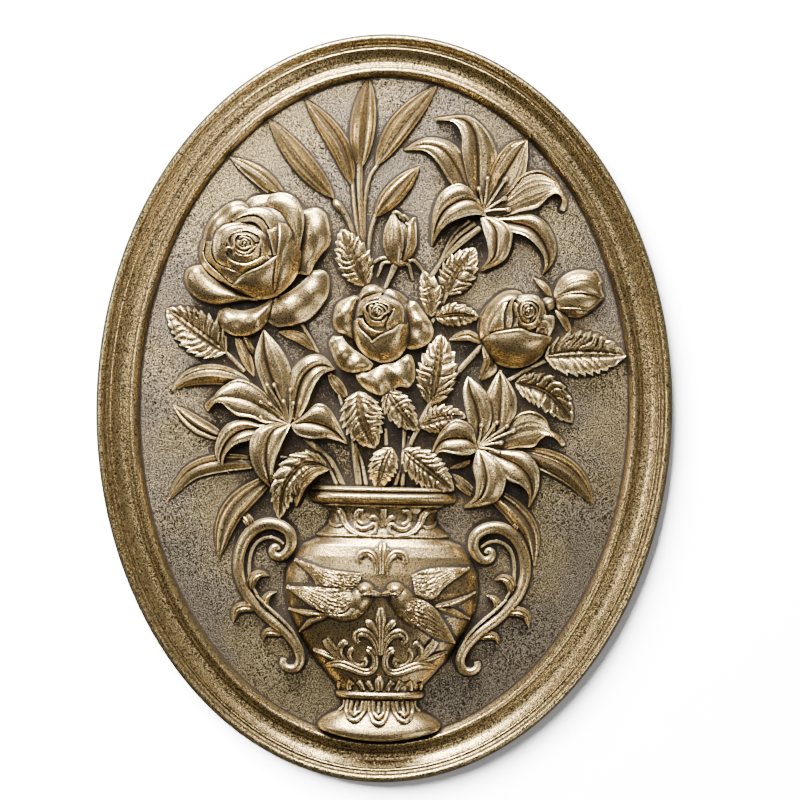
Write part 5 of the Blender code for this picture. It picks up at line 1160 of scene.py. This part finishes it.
# Frame's section in millimetres: distance inside the edge, distance off the wall
FRAME_PROFILE = [
    (0.8, 0.0), (0.0, 0.8), (0.0, 6.0), (0.0, 10.8), (0.3, 12.4), (0.9, 13.8), (1.7, 14.7), (2.7, 15.0),
    (3.6, 14.6), (4.3, 13.8), (4.8, 12.9), (5.4, 12.4), (6.0, 12.2), (6.4, 12.3), (6.65, 12.8), (6.95, 13.0),
    (7.25, 12.8), (7.4, 12.5), (7.55, 12.5), (7.7, 12.8), (8.0, 12.9), (8.35, 12.6), (9.2, 11.8),
    (10.6, 10.7), (12.2, 9.9), (14.0, 9.7), (15.1, 9.6), (15.6, 9.9), (16.0, 10.4), (16.5, 10.7),
    (16.9, 10.6), (17.2, 10.7), (17.9, 11.4), (18.6, 12.0), (19.6, 12.4), (20.6, 12.1), (21.5, 10.9),
    (22.2, 9.2), (22.7, 7.4), (23.0, 6.0), (23.6, 5.6),
]
SECTION_POINTS = 112
# First points of the section, low on the outer edge, which the height map leaves out
HIDDEN_POINTS = 4
OVAL_SEGMENTS = 300
BEAD_END = 23.0
# How far the field runs in under the bead, and how high the hand-worked waves on it are
UNDER_BEAD = 1.0
FIELD_WAVE = 0.10
# The plug behind the field's front, which gives it thickness
PLUG_SIDES = 160
PLUG_SHARE = 0.99
PLUG_FRONT = -0.6
PLUG_REAR = -FIELD_THICKNESS / OUT


def oval_rings(profile):
    """Rings of the frame, from (distance inside the edge, distance off the wall) pairs in millimetres."""
    half_width = (high[0] - low[0]) / 2
    half_height = (high[2] - low[2]) / 2
    angle = np.linspace(0, 2 * np.pi, OVAL_SEGMENTS, endpoint=False)
    edge = np.stack([half_width * np.cos(angle), half_height * np.sin(angle)], axis=1)
    normal = np.stack([np.cos(angle) / half_width, np.sin(angle) / half_height], axis=1)
    normal /= np.hypot(normal[:, 0], normal[:, 1])[:, None]
    inset, off_wall = (np.asarray(profile) * MILLIMETRE).T[:, :, None]
    rings = np.zeros((len(profile), OVAL_SEGMENTS, 3))
    rings[:, :, :2] = (edge[None, :, :] - normal[None, :, :] * inset[:, :, None]) / (ACROSS, UP)
    rings[:, :, 2] = (off_wall - FIELD_THICKNESS) / OUT
    return rings


def moulding():
    """The moulded frame, closed behind."""
    clay = Clay("moulding")
    rings = oval_rings(smooth_line(FRAME_PROFILE, SECTION_POINTS))
    rows, columns, _ = rings.shape
    index = np.arange(rows * columns).reshape(rows, columns)
    after = np.roll(index, -1, axis=1)
    quads = np.stack([index[:-1], index[1:], after[1:], after[:-1]], axis=-1).reshape(-1, 4)
    inner_edge = FRAME_PROFILE[-1][0]
    behind = oval_rings([(inner_edge, 0.0)])[0]
    first = index[0]
    last = index[-1]
    rear = rows * columns + np.arange(columns)
    back = np.stack([first, np.roll(first, -1), np.roll(rear, -1), rear], axis=-1)
    inside = np.stack([last, rear, np.roll(rear, -1), np.roll(last, -1)], axis=-1)
    clay.add(np.vstack([rings.reshape(-1, 3), behind]), np.vstack([quads, back, inside]))
    clay.tops.append(np.concatenate([rings, rings[:, :1]], axis=1)[HIDDEN_POINTS:])


def field():
    """The field behind the relief: a grid cut to an oval under the frame's bead, and a plug behind it."""
    clay = Clay("field")
    across = UNITS_ACROSS / 2 - BEAD_END + UNDER_BEAD
    up = UNITS_UP / 2 - BEAD_END + UNDER_BEAD
    x, z = np.meshgrid(np.arange(-across, across + FIELD_STEP, FIELD_STEP),
                       np.arange(-up, up + FIELD_STEP, FIELD_STEP), indexing="ij")
    inside = (x / across) ** 2 + (z / up) ** 2 <= 1.0
    full = inside[:-1, :-1] & inside[1:, :-1] & inside[1:, 1:] & inside[:-1, 1:]
    used = np.zeros(x.shape, bool)
    for dx in (0, 1):
        for dz in (0, 1):
            used[dx:x.shape[0] - 1 + dx, dz:x.shape[1] - 1 + dz] |= full
    number = -np.ones(x.shape, int)
    number[used] = np.arange(used.sum())
    wave = FIELD_WAVE * (np.sin(x / 11 + 2 * np.sin(z / 23)) + np.sin(z / 13 + 2 * np.sin(x / 19)))
    corners = (number[1:, :-1], number[1:, 1:], number[:-1, 1:], number[:-1, :-1])
    quads = np.stack([corner[full] for corner in corners], axis=-1)
    clay.add(np.stack([x[used], z[used], wave[used]], axis=1), quads)

    angle = np.linspace(0, 2 * np.pi, PLUG_SIDES, endpoint=False)
    oval = PLUG_SHARE * np.stack([across * np.cos(angle), up * np.sin(angle)], axis=1)
    rings = [np.column_stack([oval, np.full(PLUG_SIDES, rise)]) for rise in (PLUG_FRONT, PLUG_REAR)]
    middles = [(0, 0, PLUG_FRONT), (0, 0, PLUG_REAR)]
    ring = np.arange(PLUG_SIDES)
    after = np.roll(ring, -1)
    sides = np.stack([ring, after, after + PLUG_SIDES, ring + PLUG_SIDES], axis=-1)
    start = ring[::2]
    end = (start + 2) % PLUG_SIDES
    front_middle = np.full(len(start), 2 * PLUG_SIDES)
    front = np.stack([front_middle, start, start + 1, end], axis=-1)
    rear = np.stack([front_middle + 1, end + PLUG_SIDES, start + 1 + PLUG_SIDES, start + PLUG_SIDES], axis=-1)
    clay.add(np.vstack([*rings, middles]), np.vstack([sides, front, rear]))


# Patina and painted shade: how open each place of the relief is to the light, and how far it stands proud

MAP_CELL = 0.3
MAP_MARGIN = 4
MAP_SAMPLE_STEP = 0.22
OFF_THE_FIELD = -6.0
# The sky is searched this far in each direction, in drawn units
SKY_DIRECTIONS = 16
SKY_REACHES = (0.9, 1.8, 3.2, 5.5, 9.0, 14.0)
PROUD_WINDOW = 3
# Places this far under an overhang start to darken with painted shade, and how fast they do
OVERHANG_START = 0.5
OVERHANG_FADE = 2.0
OVERHANG_SINK = 0.5


def refined(top):
    """A form's top with points close enough to fill the height map."""
    for axis in (0, 1):
        steps = np.abs(np.diff(top, axis=axis))[..., :2].max()
        times = max(1, int(math.ceil(steps / MAP_SAMPLE_STEP)))
        count = (top.shape[axis] - 1) * times + 1
        place = np.linspace(0, top.shape[axis] - 1, count)
        base = np.minimum(place.astype(int), top.shape[axis] - 2)
        shape = [1, 1, 1]
        shape[axis] = count
        part = (place - base).reshape(shape)
        top = np.take(top, base, axis=axis) * (1 - part) + np.take(top, base + 1, axis=axis) * part
    return top


def box_blur(values, reach):
    """Mean over a square window of (2 * reach + 1) cells."""
    wide = 2 * reach + 1
    for axis in (0, 1):
        pad = [(0, 0), (0, 0)]
        pad[axis] = (reach + 1, reach)
        total = np.cumsum(np.pad(values, pad, mode="edge"), axis=axis)
        start = np.arange(values.shape[axis])
        values = (np.take(total, start + wide, axis=axis) - np.take(total, start, axis=axis)) / wide
    return values


class Relief:
    """Height map of the whole relief, from which the patina and the painted shade are worked out."""

    def __init__(self):
        self.corner = np.array([-UNITS_ACROSS / 2 - MAP_MARGIN, -UNITS_UP / 2 - MAP_MARGIN])
        shape = tuple(int((size + 2 * MAP_MARGIN) / MAP_CELL) for size in (UNITS_ACROSS, UNITS_UP))
        x, z = (self.corner[axis] + (np.arange(shape[axis]) + 0.5) * MAP_CELL for axis in (0, 1))
        x_share, z_share = (place / (size / 2 - BEAD_END + UNDER_BEAD / 2)
                            for place, size in ((x, UNITS_ACROSS), (z, UNITS_UP)))
        self.height = np.where(x_share[:, None] ** 2 + z_share[None, :] ** 2 <= 1.0, 0.0, OFF_THE_FIELD)
        for clay in Clay.made:
            for top in clay.tops:
                points = refined(top).reshape(-1, 3)
                cell = ((points[:, :2] - self.corner) / MAP_CELL).astype(int).clip(0, np.array(shape) - 1)
                np.maximum.at(self.height, tuple(cell.T), points[:, 2])
        self.open = self.openness()
        self.proud = self.height - box_blur(box_blur(self.height, PROUD_WINDOW), PROUD_WINDOW)

    def openness(self):
        """Share of the sky that each cell sees, from 0 to 1."""
        height = box_blur(self.height, 1)
        total = np.zeros_like(height)
        for angle in np.linspace(0, 2 * np.pi, SKY_DIRECTIONS, endpoint=False):
            steepest = np.zeros_like(height)
            for reach in SKY_REACHES:
                shift = [int(round(-reach * way / MAP_CELL)) for way in (math.cos(angle), math.sin(angle))]
                there = np.roll(height, shift, axis=(0, 1))
                steepest = np.maximum(steepest, (there - height) / reach)
            total += 1 - steepest / np.sqrt(1 + steepest**2)
        return total / SKY_DIRECTIONS

    def read(self, layer, points):
        """Value of a layer at each point, smoothed between cells."""
        u, v = ((points[:, :2] - self.corner) / MAP_CELL - 0.5).T
        i = u.astype(int).clip(0, layer.shape[0] - 2)
        j = v.astype(int).clip(0, layer.shape[1] - 2)
        a = (u - i).clip(0, 1)
        b = (v - j).clip(0, 1)
        return (layer[i, j] * (1 - a) * (1 - b) + layer[i + 1, j] * a * (1 - b)
                + layer[i, j + 1] * (1 - a) * b + layer[i + 1, j + 1] * a * b)

    def patina_and_shade(self, points):
        """Openness and proudness at each point of a piece: low openness gives dark patina and painted shade
        in the recesses, and a place under an overhang gets painted shade.
        """
        under = self.read(self.height, points) - points[:, 2]
        shade = np.exp(-np.clip(under - OVERHANG_START, 0, None) / OVERHANG_FADE)
        proud = self.read(self.proud, points) - OVERHANG_SINK * np.clip(under, 0, None)
        return self.read(self.open, points) * shade, proud


# Material

def link(tree, value, socket):
    """Join an output to a socket, or set the socket's own value."""
    if isinstance(value, bpy.types.NodeSocket):
        tree.links.new(value, socket)
    else:
        socket.default_value = value


class Nodes:
    """Short names for the nodes that a finish needs."""

    def __init__(self, name):
        self.material = bpy.data.materials.new(name)
        self.material.use_nodes = True
        self.tree = self.material.node_tree
        self.shader = self.tree.nodes["Principled BSDF"]
        self.place = self.tree.nodes.new("ShaderNodeTexCoord").outputs["Object"]

    def attribute(self, name):
        node = self.tree.nodes.new("ShaderNodeAttribute")
        node.attribute_name = name
        return node.outputs["Fac"]

    def noise(self, scale, detail, roughness):
        node = self.tree.nodes.new("ShaderNodeTexNoise")
        settings = {"Scale": scale, "Detail": detail, "Roughness": roughness, "Vector": self.place}
        for key, value in settings.items():
            link(self.tree, value, node.inputs[key])
        return node.outputs["Fac"]

    def span(self, value, low_in, high_in, low_out=0.0, high_out=1.0, smooth=True):
        node = self.tree.nodes.new("ShaderNodeMapRange")
        node.interpolation_type = "SMOOTHSTEP" if smooth else "LINEAR"
        settings = {"Value": value, "From Min": low_in, "From Max": high_in, "To Min": low_out,
                    "To Max": high_out}
        for key, number in settings.items():
            link(self.tree, number, node.inputs[key])
        return node.outputs["Result"]

    def math(self, operation, first, second):
        node = self.tree.nodes.new("ShaderNodeMath")
        node.operation = operation
        link(self.tree, first, node.inputs[0])
        link(self.tree, second, node.inputs[1])
        return node.outputs["Value"]

    def plus(self, value, times, extra):
        """The value plus so many times the extra one."""
        return self.math("ADD", value, self.math("MULTIPLY", extra, times))

    def mix(self, share, first, second):
        node = self.tree.nodes.new("ShaderNodeMix")
        node.data_type = "RGBA"
        link(self.tree, share, node.inputs["Factor"])
        link(self.tree, first, node.inputs[6])
        link(self.tree, second, node.inputs[7])
        return node.outputs[2]

    def shade(self, name, value):
        link(self.tree, value, self.shader.inputs[name])


# DARK and BROWN colour the dark specks and the cloudy tone, and also the painted shade with patina in
# recesses, at the foot of forms and under overhangs
DARK = (0.015, 0.010, 0.006, 1.0)
BROWN = (0.085, 0.062, 0.036, 1.0)
BRONZE = (0.37, 0.262, 0.118, 1.0)
# PALE: rubbed wear on raised places, and partly a painted highlight on rims and ridges
PALE = (0.92, 0.72, 0.36, 1.0)
GILT = (0.46, 0.33, 0.14, 1.0)
GREY = (0.42, 0.345, 0.245, 1.0)
# The field's random patch colour: part warmer tone, part painted sheen
SAND_AND_SHEEN = (0.58, 0.45, 0.235, 1.0)
LEAF = (0.26, 0.185, 0.085, 1.0)

# Noises of the finish: scale per metre, detail, roughness
GRAIN = (1700.0, 1.0, 0.7)
FLECK = (700.0, 3.0, 0.75)
CLOUD = (70.0, 4.0, 0.6)
PATCHES = (11.0, 3.0, 0.6)
BUMP_STRENGTH = 0.22
BUMP_HEIGHT = 0.0004


def bronze(name, base=BRONZE, patch=BRONZE, speckle=0.39, pale_share=1.0, dark_from=0.28, dark_to=0.80,
           cloudy=0.25):
    """Antique bronze: black-brown in the recesses, part patina and part painted shade, golden on the faces,
    and pale on what stands proud, part rubbed wear and part painted highlight.
    """
    nodes = Nodes(name)
    span, mix, plus = nodes.span, nodes.mix, nodes.plus
    open_share = nodes.attribute("open")
    proud = nodes.attribute("proud")
    cloud = nodes.noise(*CLOUD)
    grain = nodes.noise(*GRAIN)
    fleck = nodes.noise(*FLECK)
    unrest = nodes.math("SUBTRACT", plus(nodes.math("MULTIPLY", grain, 1.5), 0.5, fleck), 1.0)
    # Painted shade with patina: darker where a place sees little sky, along the foot of each form, and under
    # overhangs
    sky = span(plus(open_share, 0.7, unrest), dark_from, dark_to)
    contour_shade_and_patina = span(plus(proud, 0.6, unrest), -0.9, -0.08, 0.10, 1.0)
    glints = span(grain, 0.54, 0.66, 0.0, 0.42)
    clear_of_shade_and_patina = nodes.math("MAXIMUM", nodes.math("MULTIPLY", sky, contour_shade_and_patina), glints)
    # Colour of the painted shade and patina in the recesses
    lower = mix(span(clear_of_shade_and_patina, 0.0, 0.6), DARK, BROWN)
    # Random patches of a second colour; on the field they are part tone and part painted sheen
    ground = mix(span(nodes.noise(*PATCHES), 0.42, 0.60), base, patch)
    face = mix(span(clear_of_shade_and_patina, 0.3, 1.0), lower, ground)
    # Pale on what stands proud: part rubbed wear, part painted highlight
    worn_and_highlit = mix(span(plus(proud, 0.9, unrest), 0.08, 0.9, 0.0, pale_share), face, PALE)
    toned = mix(span(cloud, 0.45, 0.70, 0.0, cloudy), worn_and_highlit, BROWN)
    specks = span(grain, speckle, speckle + 0.09, 1.0, 0.0)
    pits = span(fleck, speckle - 0.10, speckle - 0.02, 0.95, 0.0)
    nodes.shade("Base Color", mix(nodes.math("MAXIMUM", specks, pits), toned, DARK))
    nodes.shade("Roughness", span(nodes.math("ADD", clear_of_shade_and_patina, unrest), 0.0, 1.2, 0.50, 0.24, smooth=False))
    nodes.shade("Metallic", span(clear_of_shade_and_patina, 0.0, 0.5, 0.35, 0.95))
    nodes.shade("Specular IOR Level", 0.4)
    relief_node = nodes.tree.nodes.new("ShaderNodeBump")
    relief_node.inputs["Strength"].default_value = BUMP_STRENGTH
    relief_node.inputs["Distance"].default_value = BUMP_HEIGHT
    link(nodes.tree, plus(grain, 1.5, fleck), relief_node.inputs["Height"])
    nodes.shade("Normal", relief_node.outputs["Normal"])
    return nodes.material


SHARP_EDGE = 50


def modelled(clay, relief, material):
    """Make the piece's object from its clay, with the attributes of patina and painted shade."""
    points = np.vstack(clay.points)
    faces = np.vstack(clay.faces).astype(np.int32)
    off_wall = FIELD_THICKNESS + points[:, 2] * OUT
    world = np.stack([points[:, 0] * ACROSS, -off_wall, points[:, 1] * UP], axis=1)
    mesh = bpy.data.meshes.new(clay.name)
    mesh.vertices.add(len(world))
    mesh.vertices.foreach_set("co", world.astype(np.float32).ravel())
    mesh.loops.add(faces.size)
    mesh.loops.foreach_set("vertex_index", faces.ravel())
    mesh.polygons.add(len(faces))
    mesh.polygons.foreach_set("loop_start", np.arange(0, faces.size, 4, dtype=np.int32))
    mesh.update(calc_edges=True)
    mesh.validate()
    for name, values in zip(("open", "proud"), relief.patina_and_shade(points)):
        layer = mesh.attributes.new(name, "FLOAT", "POINT")
        layer.data.foreach_set("value", values.astype(np.float32))
    mesh.shade_smooth()
    mesh.set_sharp_from_angle(angle=math.radians(SHARP_EDGE))
    mesh.materials.append(material)
    piece = bpy.data.objects.new(clay.name, mesh)
    bpy.context.scene.collection.objects.link(piece)
    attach(piece, BODY)
    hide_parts("plaque")


# Studio

CAMERA_TARGET = Vector((0.0084, -0.010, 0.0045))
CAMERA_DISTANCE = 1.592
CAMERA_LENS = 134.0
CAMERA_ROLL = 1.0
WALL_GAP = 0.0006
WALL_HALF = 1.6
WALL_GLOW = 0.16
FLOOR_DROP = 0.55
FLOOR_HALF = 2.5
SKY_STRENGTH = 0.17
MIDDLE = (0, 0, 0)
# Name, place, target, power in watts and size of each lamp on the plaque
LAMPS = (
    ("key", (-0.42, -0.85, 1.40), MIDDLE, 225, 0.60),
    ("top", (0.25, -0.80, 1.40), MIDDLE, 105, 0.60),
    ("front", (-0.3, -2.0, 0.6), (0, 0, 0.05), 13, 0.5),
    ("side", (-1.5, -0.9, 0.3), MIDDLE, 16, 0.5),
    ("fill", (1.1, -0.9, -0.9), MIDDLE, 15, 0.9),
)


def camera():
    """Camera square to the plaque, rolled by about a degree as in the photograph."""
    data = bpy.data.cameras.new("camera")
    data.lens = CAMERA_LENS
    made = bpy.data.objects.new("camera", data)
    made.location = CAMERA_TARGET - Vector((0, CAMERA_DISTANCE, 0))
    made.rotation_euler = (math.radians(90), 0, 0)
    made.rotation_euler.rotate_axis("Z", math.radians(CAMERA_ROLL))
    bpy.context.scene.collection.objects.link(made)
    bpy.context.scene.camera = made


def lamp(name, place, target, power, size, lit):
    """Square area light aimed at a point, which lights the objects of one collection only."""
    data = bpy.data.lights.new(name, "AREA")
    data.energy = power
    data.size = size
    made = bpy.data.objects.new(name, data)
    made.location = place
    made.rotation_euler = (Vector(target) - Vector(place)).to_track_quat("-Z", "Y").to_euler()
    bpy.context.scene.collection.objects.link(made)
    made.light_linking.receiver_collection = lit


def sheet(name, corners, material):
    """Flat four-cornered backdrop that the camera sees, and that sends no light or shadow to the plaque."""
    mesh = bpy.data.meshes.new(name)
    mesh.from_pydata(corners, [], [(0, 1, 2, 3)])
    mesh.materials.append(material)
    made = bpy.data.objects.new(name, mesh)
    bpy.context.scene.collection.objects.link(made)
    made.visible_diffuse = False
    made.visible_glossy = False
    made.visible_transmission = False
    made.visible_shadow = False
    return made


def plain(name, colour, glow=0.0):
    """Matt studio surface."""
    material = bpy.data.materials.new(name)
    material.use_nodes = True
    shader = material.node_tree.nodes["Principled BSDF"]
    shader.inputs["Base Color"].default_value = colour
    shader.inputs["Roughness"].default_value = 0.9
    shader.inputs["Specular IOR Level"].default_value = 0.1
    shader.inputs["Emission Color"].default_value = colour
    shader.inputs["Emission Strength"].default_value = glow
    return material


def clear_from_behind(material):
    """Let a view from behind see through the material."""
    tree = material.node_tree
    geometry = tree.nodes.new("ShaderNodeNewGeometry")
    clear = tree.nodes.new("ShaderNodeBsdfTransparent")
    choice = tree.nodes.new("ShaderNodeMixShader")
    tree.links.new(geometry.outputs["Backfacing"], choice.inputs["Fac"])
    tree.links.new(tree.nodes["Principled BSDF"].outputs["BSDF"], choice.inputs[1])
    tree.links.new(clear.outputs["BSDF"], choice.inputs[2])
    tree.links.new(choice.outputs["Shader"], tree.nodes["Material Output"].inputs["Surface"])


def studio():
    """White wall, pale floor, soft light from the upper left, and a gentle fill."""
    white = plain("white_wall", (0.95, 0.95, 0.95, 1.0), WALL_GLOW)
    clear_from_behind(white)
    wall = sheet("wall", [(-WALL_HALF, WALL_GAP, -FLOOR_DROP), (WALL_HALF, WALL_GAP, -FLOOR_DROP),
                          (WALL_HALF, WALL_GAP, WALL_HALF), (-WALL_HALF, WALL_GAP, WALL_HALF)], white)
    corners = [(x * FLOOR_HALF, y * FLOOR_HALF, -FLOOR_DROP) for x, y in ((-1, -1), (1, -1), (1, 1), (-1, 1))]
    sheet("floor", corners, plain("pale_floor", (0.8, 0.8, 0.79, 1.0)))
    wall_only = bpy.data.collections.new("wall_only")
    wall_only.objects.link(wall)
    all_but_wall = bpy.data.collections.new("all_but_wall")
    for made in bpy.data.objects:
        if made.type == "MESH" and made != wall:
            all_but_wall.objects.link(made)
    lamp("wall_light", (-0.70, -1.2, 0.85), MIDDLE, 900, 1.3, wall_only)
    for settings in LAMPS:
        lamp(*settings, all_but_wall)
    world = bpy.data.worlds.new("studio")
    world.use_nodes = True
    background = world.node_tree.nodes["Background"]
    background.inputs["Color"].default_value = (1.0, 0.99, 0.97, 1.0)
    background.inputs["Strength"].default_value = SKY_STRENGTH
    bpy.context.scene.world = world


camera()
for shape in (moulding, field, long_leaves, stems, rose_leaves, lilies, big_rose, small_rose, opening_rose,
              buds, urn, urn_ornament, handles, birds):
    shape()
relief = Relief()
finish = bronze("antique_bronze")
# A darker copy of the bronze for handles, buds, swallows and stems: more painted shade and fewer painted
# highlights
shaded = bronze("bronze_shaded", pale_share=0.6, dark_from=0.36, dark_to=0.9)
finishes = {
    "field": bronze("bronze_field", base=GREY, patch=SAND_AND_SHEEN, speckle=0.44, pale_share=0.3, dark_to=0.66,
                    cloudy=0.15),
    "moulding": bronze("bronze_moulding", base=GILT, patch=GILT, speckle=0.45, pale_share=0.5, dark_from=0.1,
                       dark_to=0.6),
    "rose_leaves": bronze("bronze_leaf", base=LEAF, patch=LEAF, pale_share=0.85),
    "urn": bronze("bronze_urn", pale_share=0.7, dark_from=0.2, dark_to=0.7),
    **dict.fromkeys(("handles", "buds", "swallows", "stems"), shaded),
}
for clay in Clay.made:
    modelled(clay, relief, finishes.get(clay.name, finish))
studio()
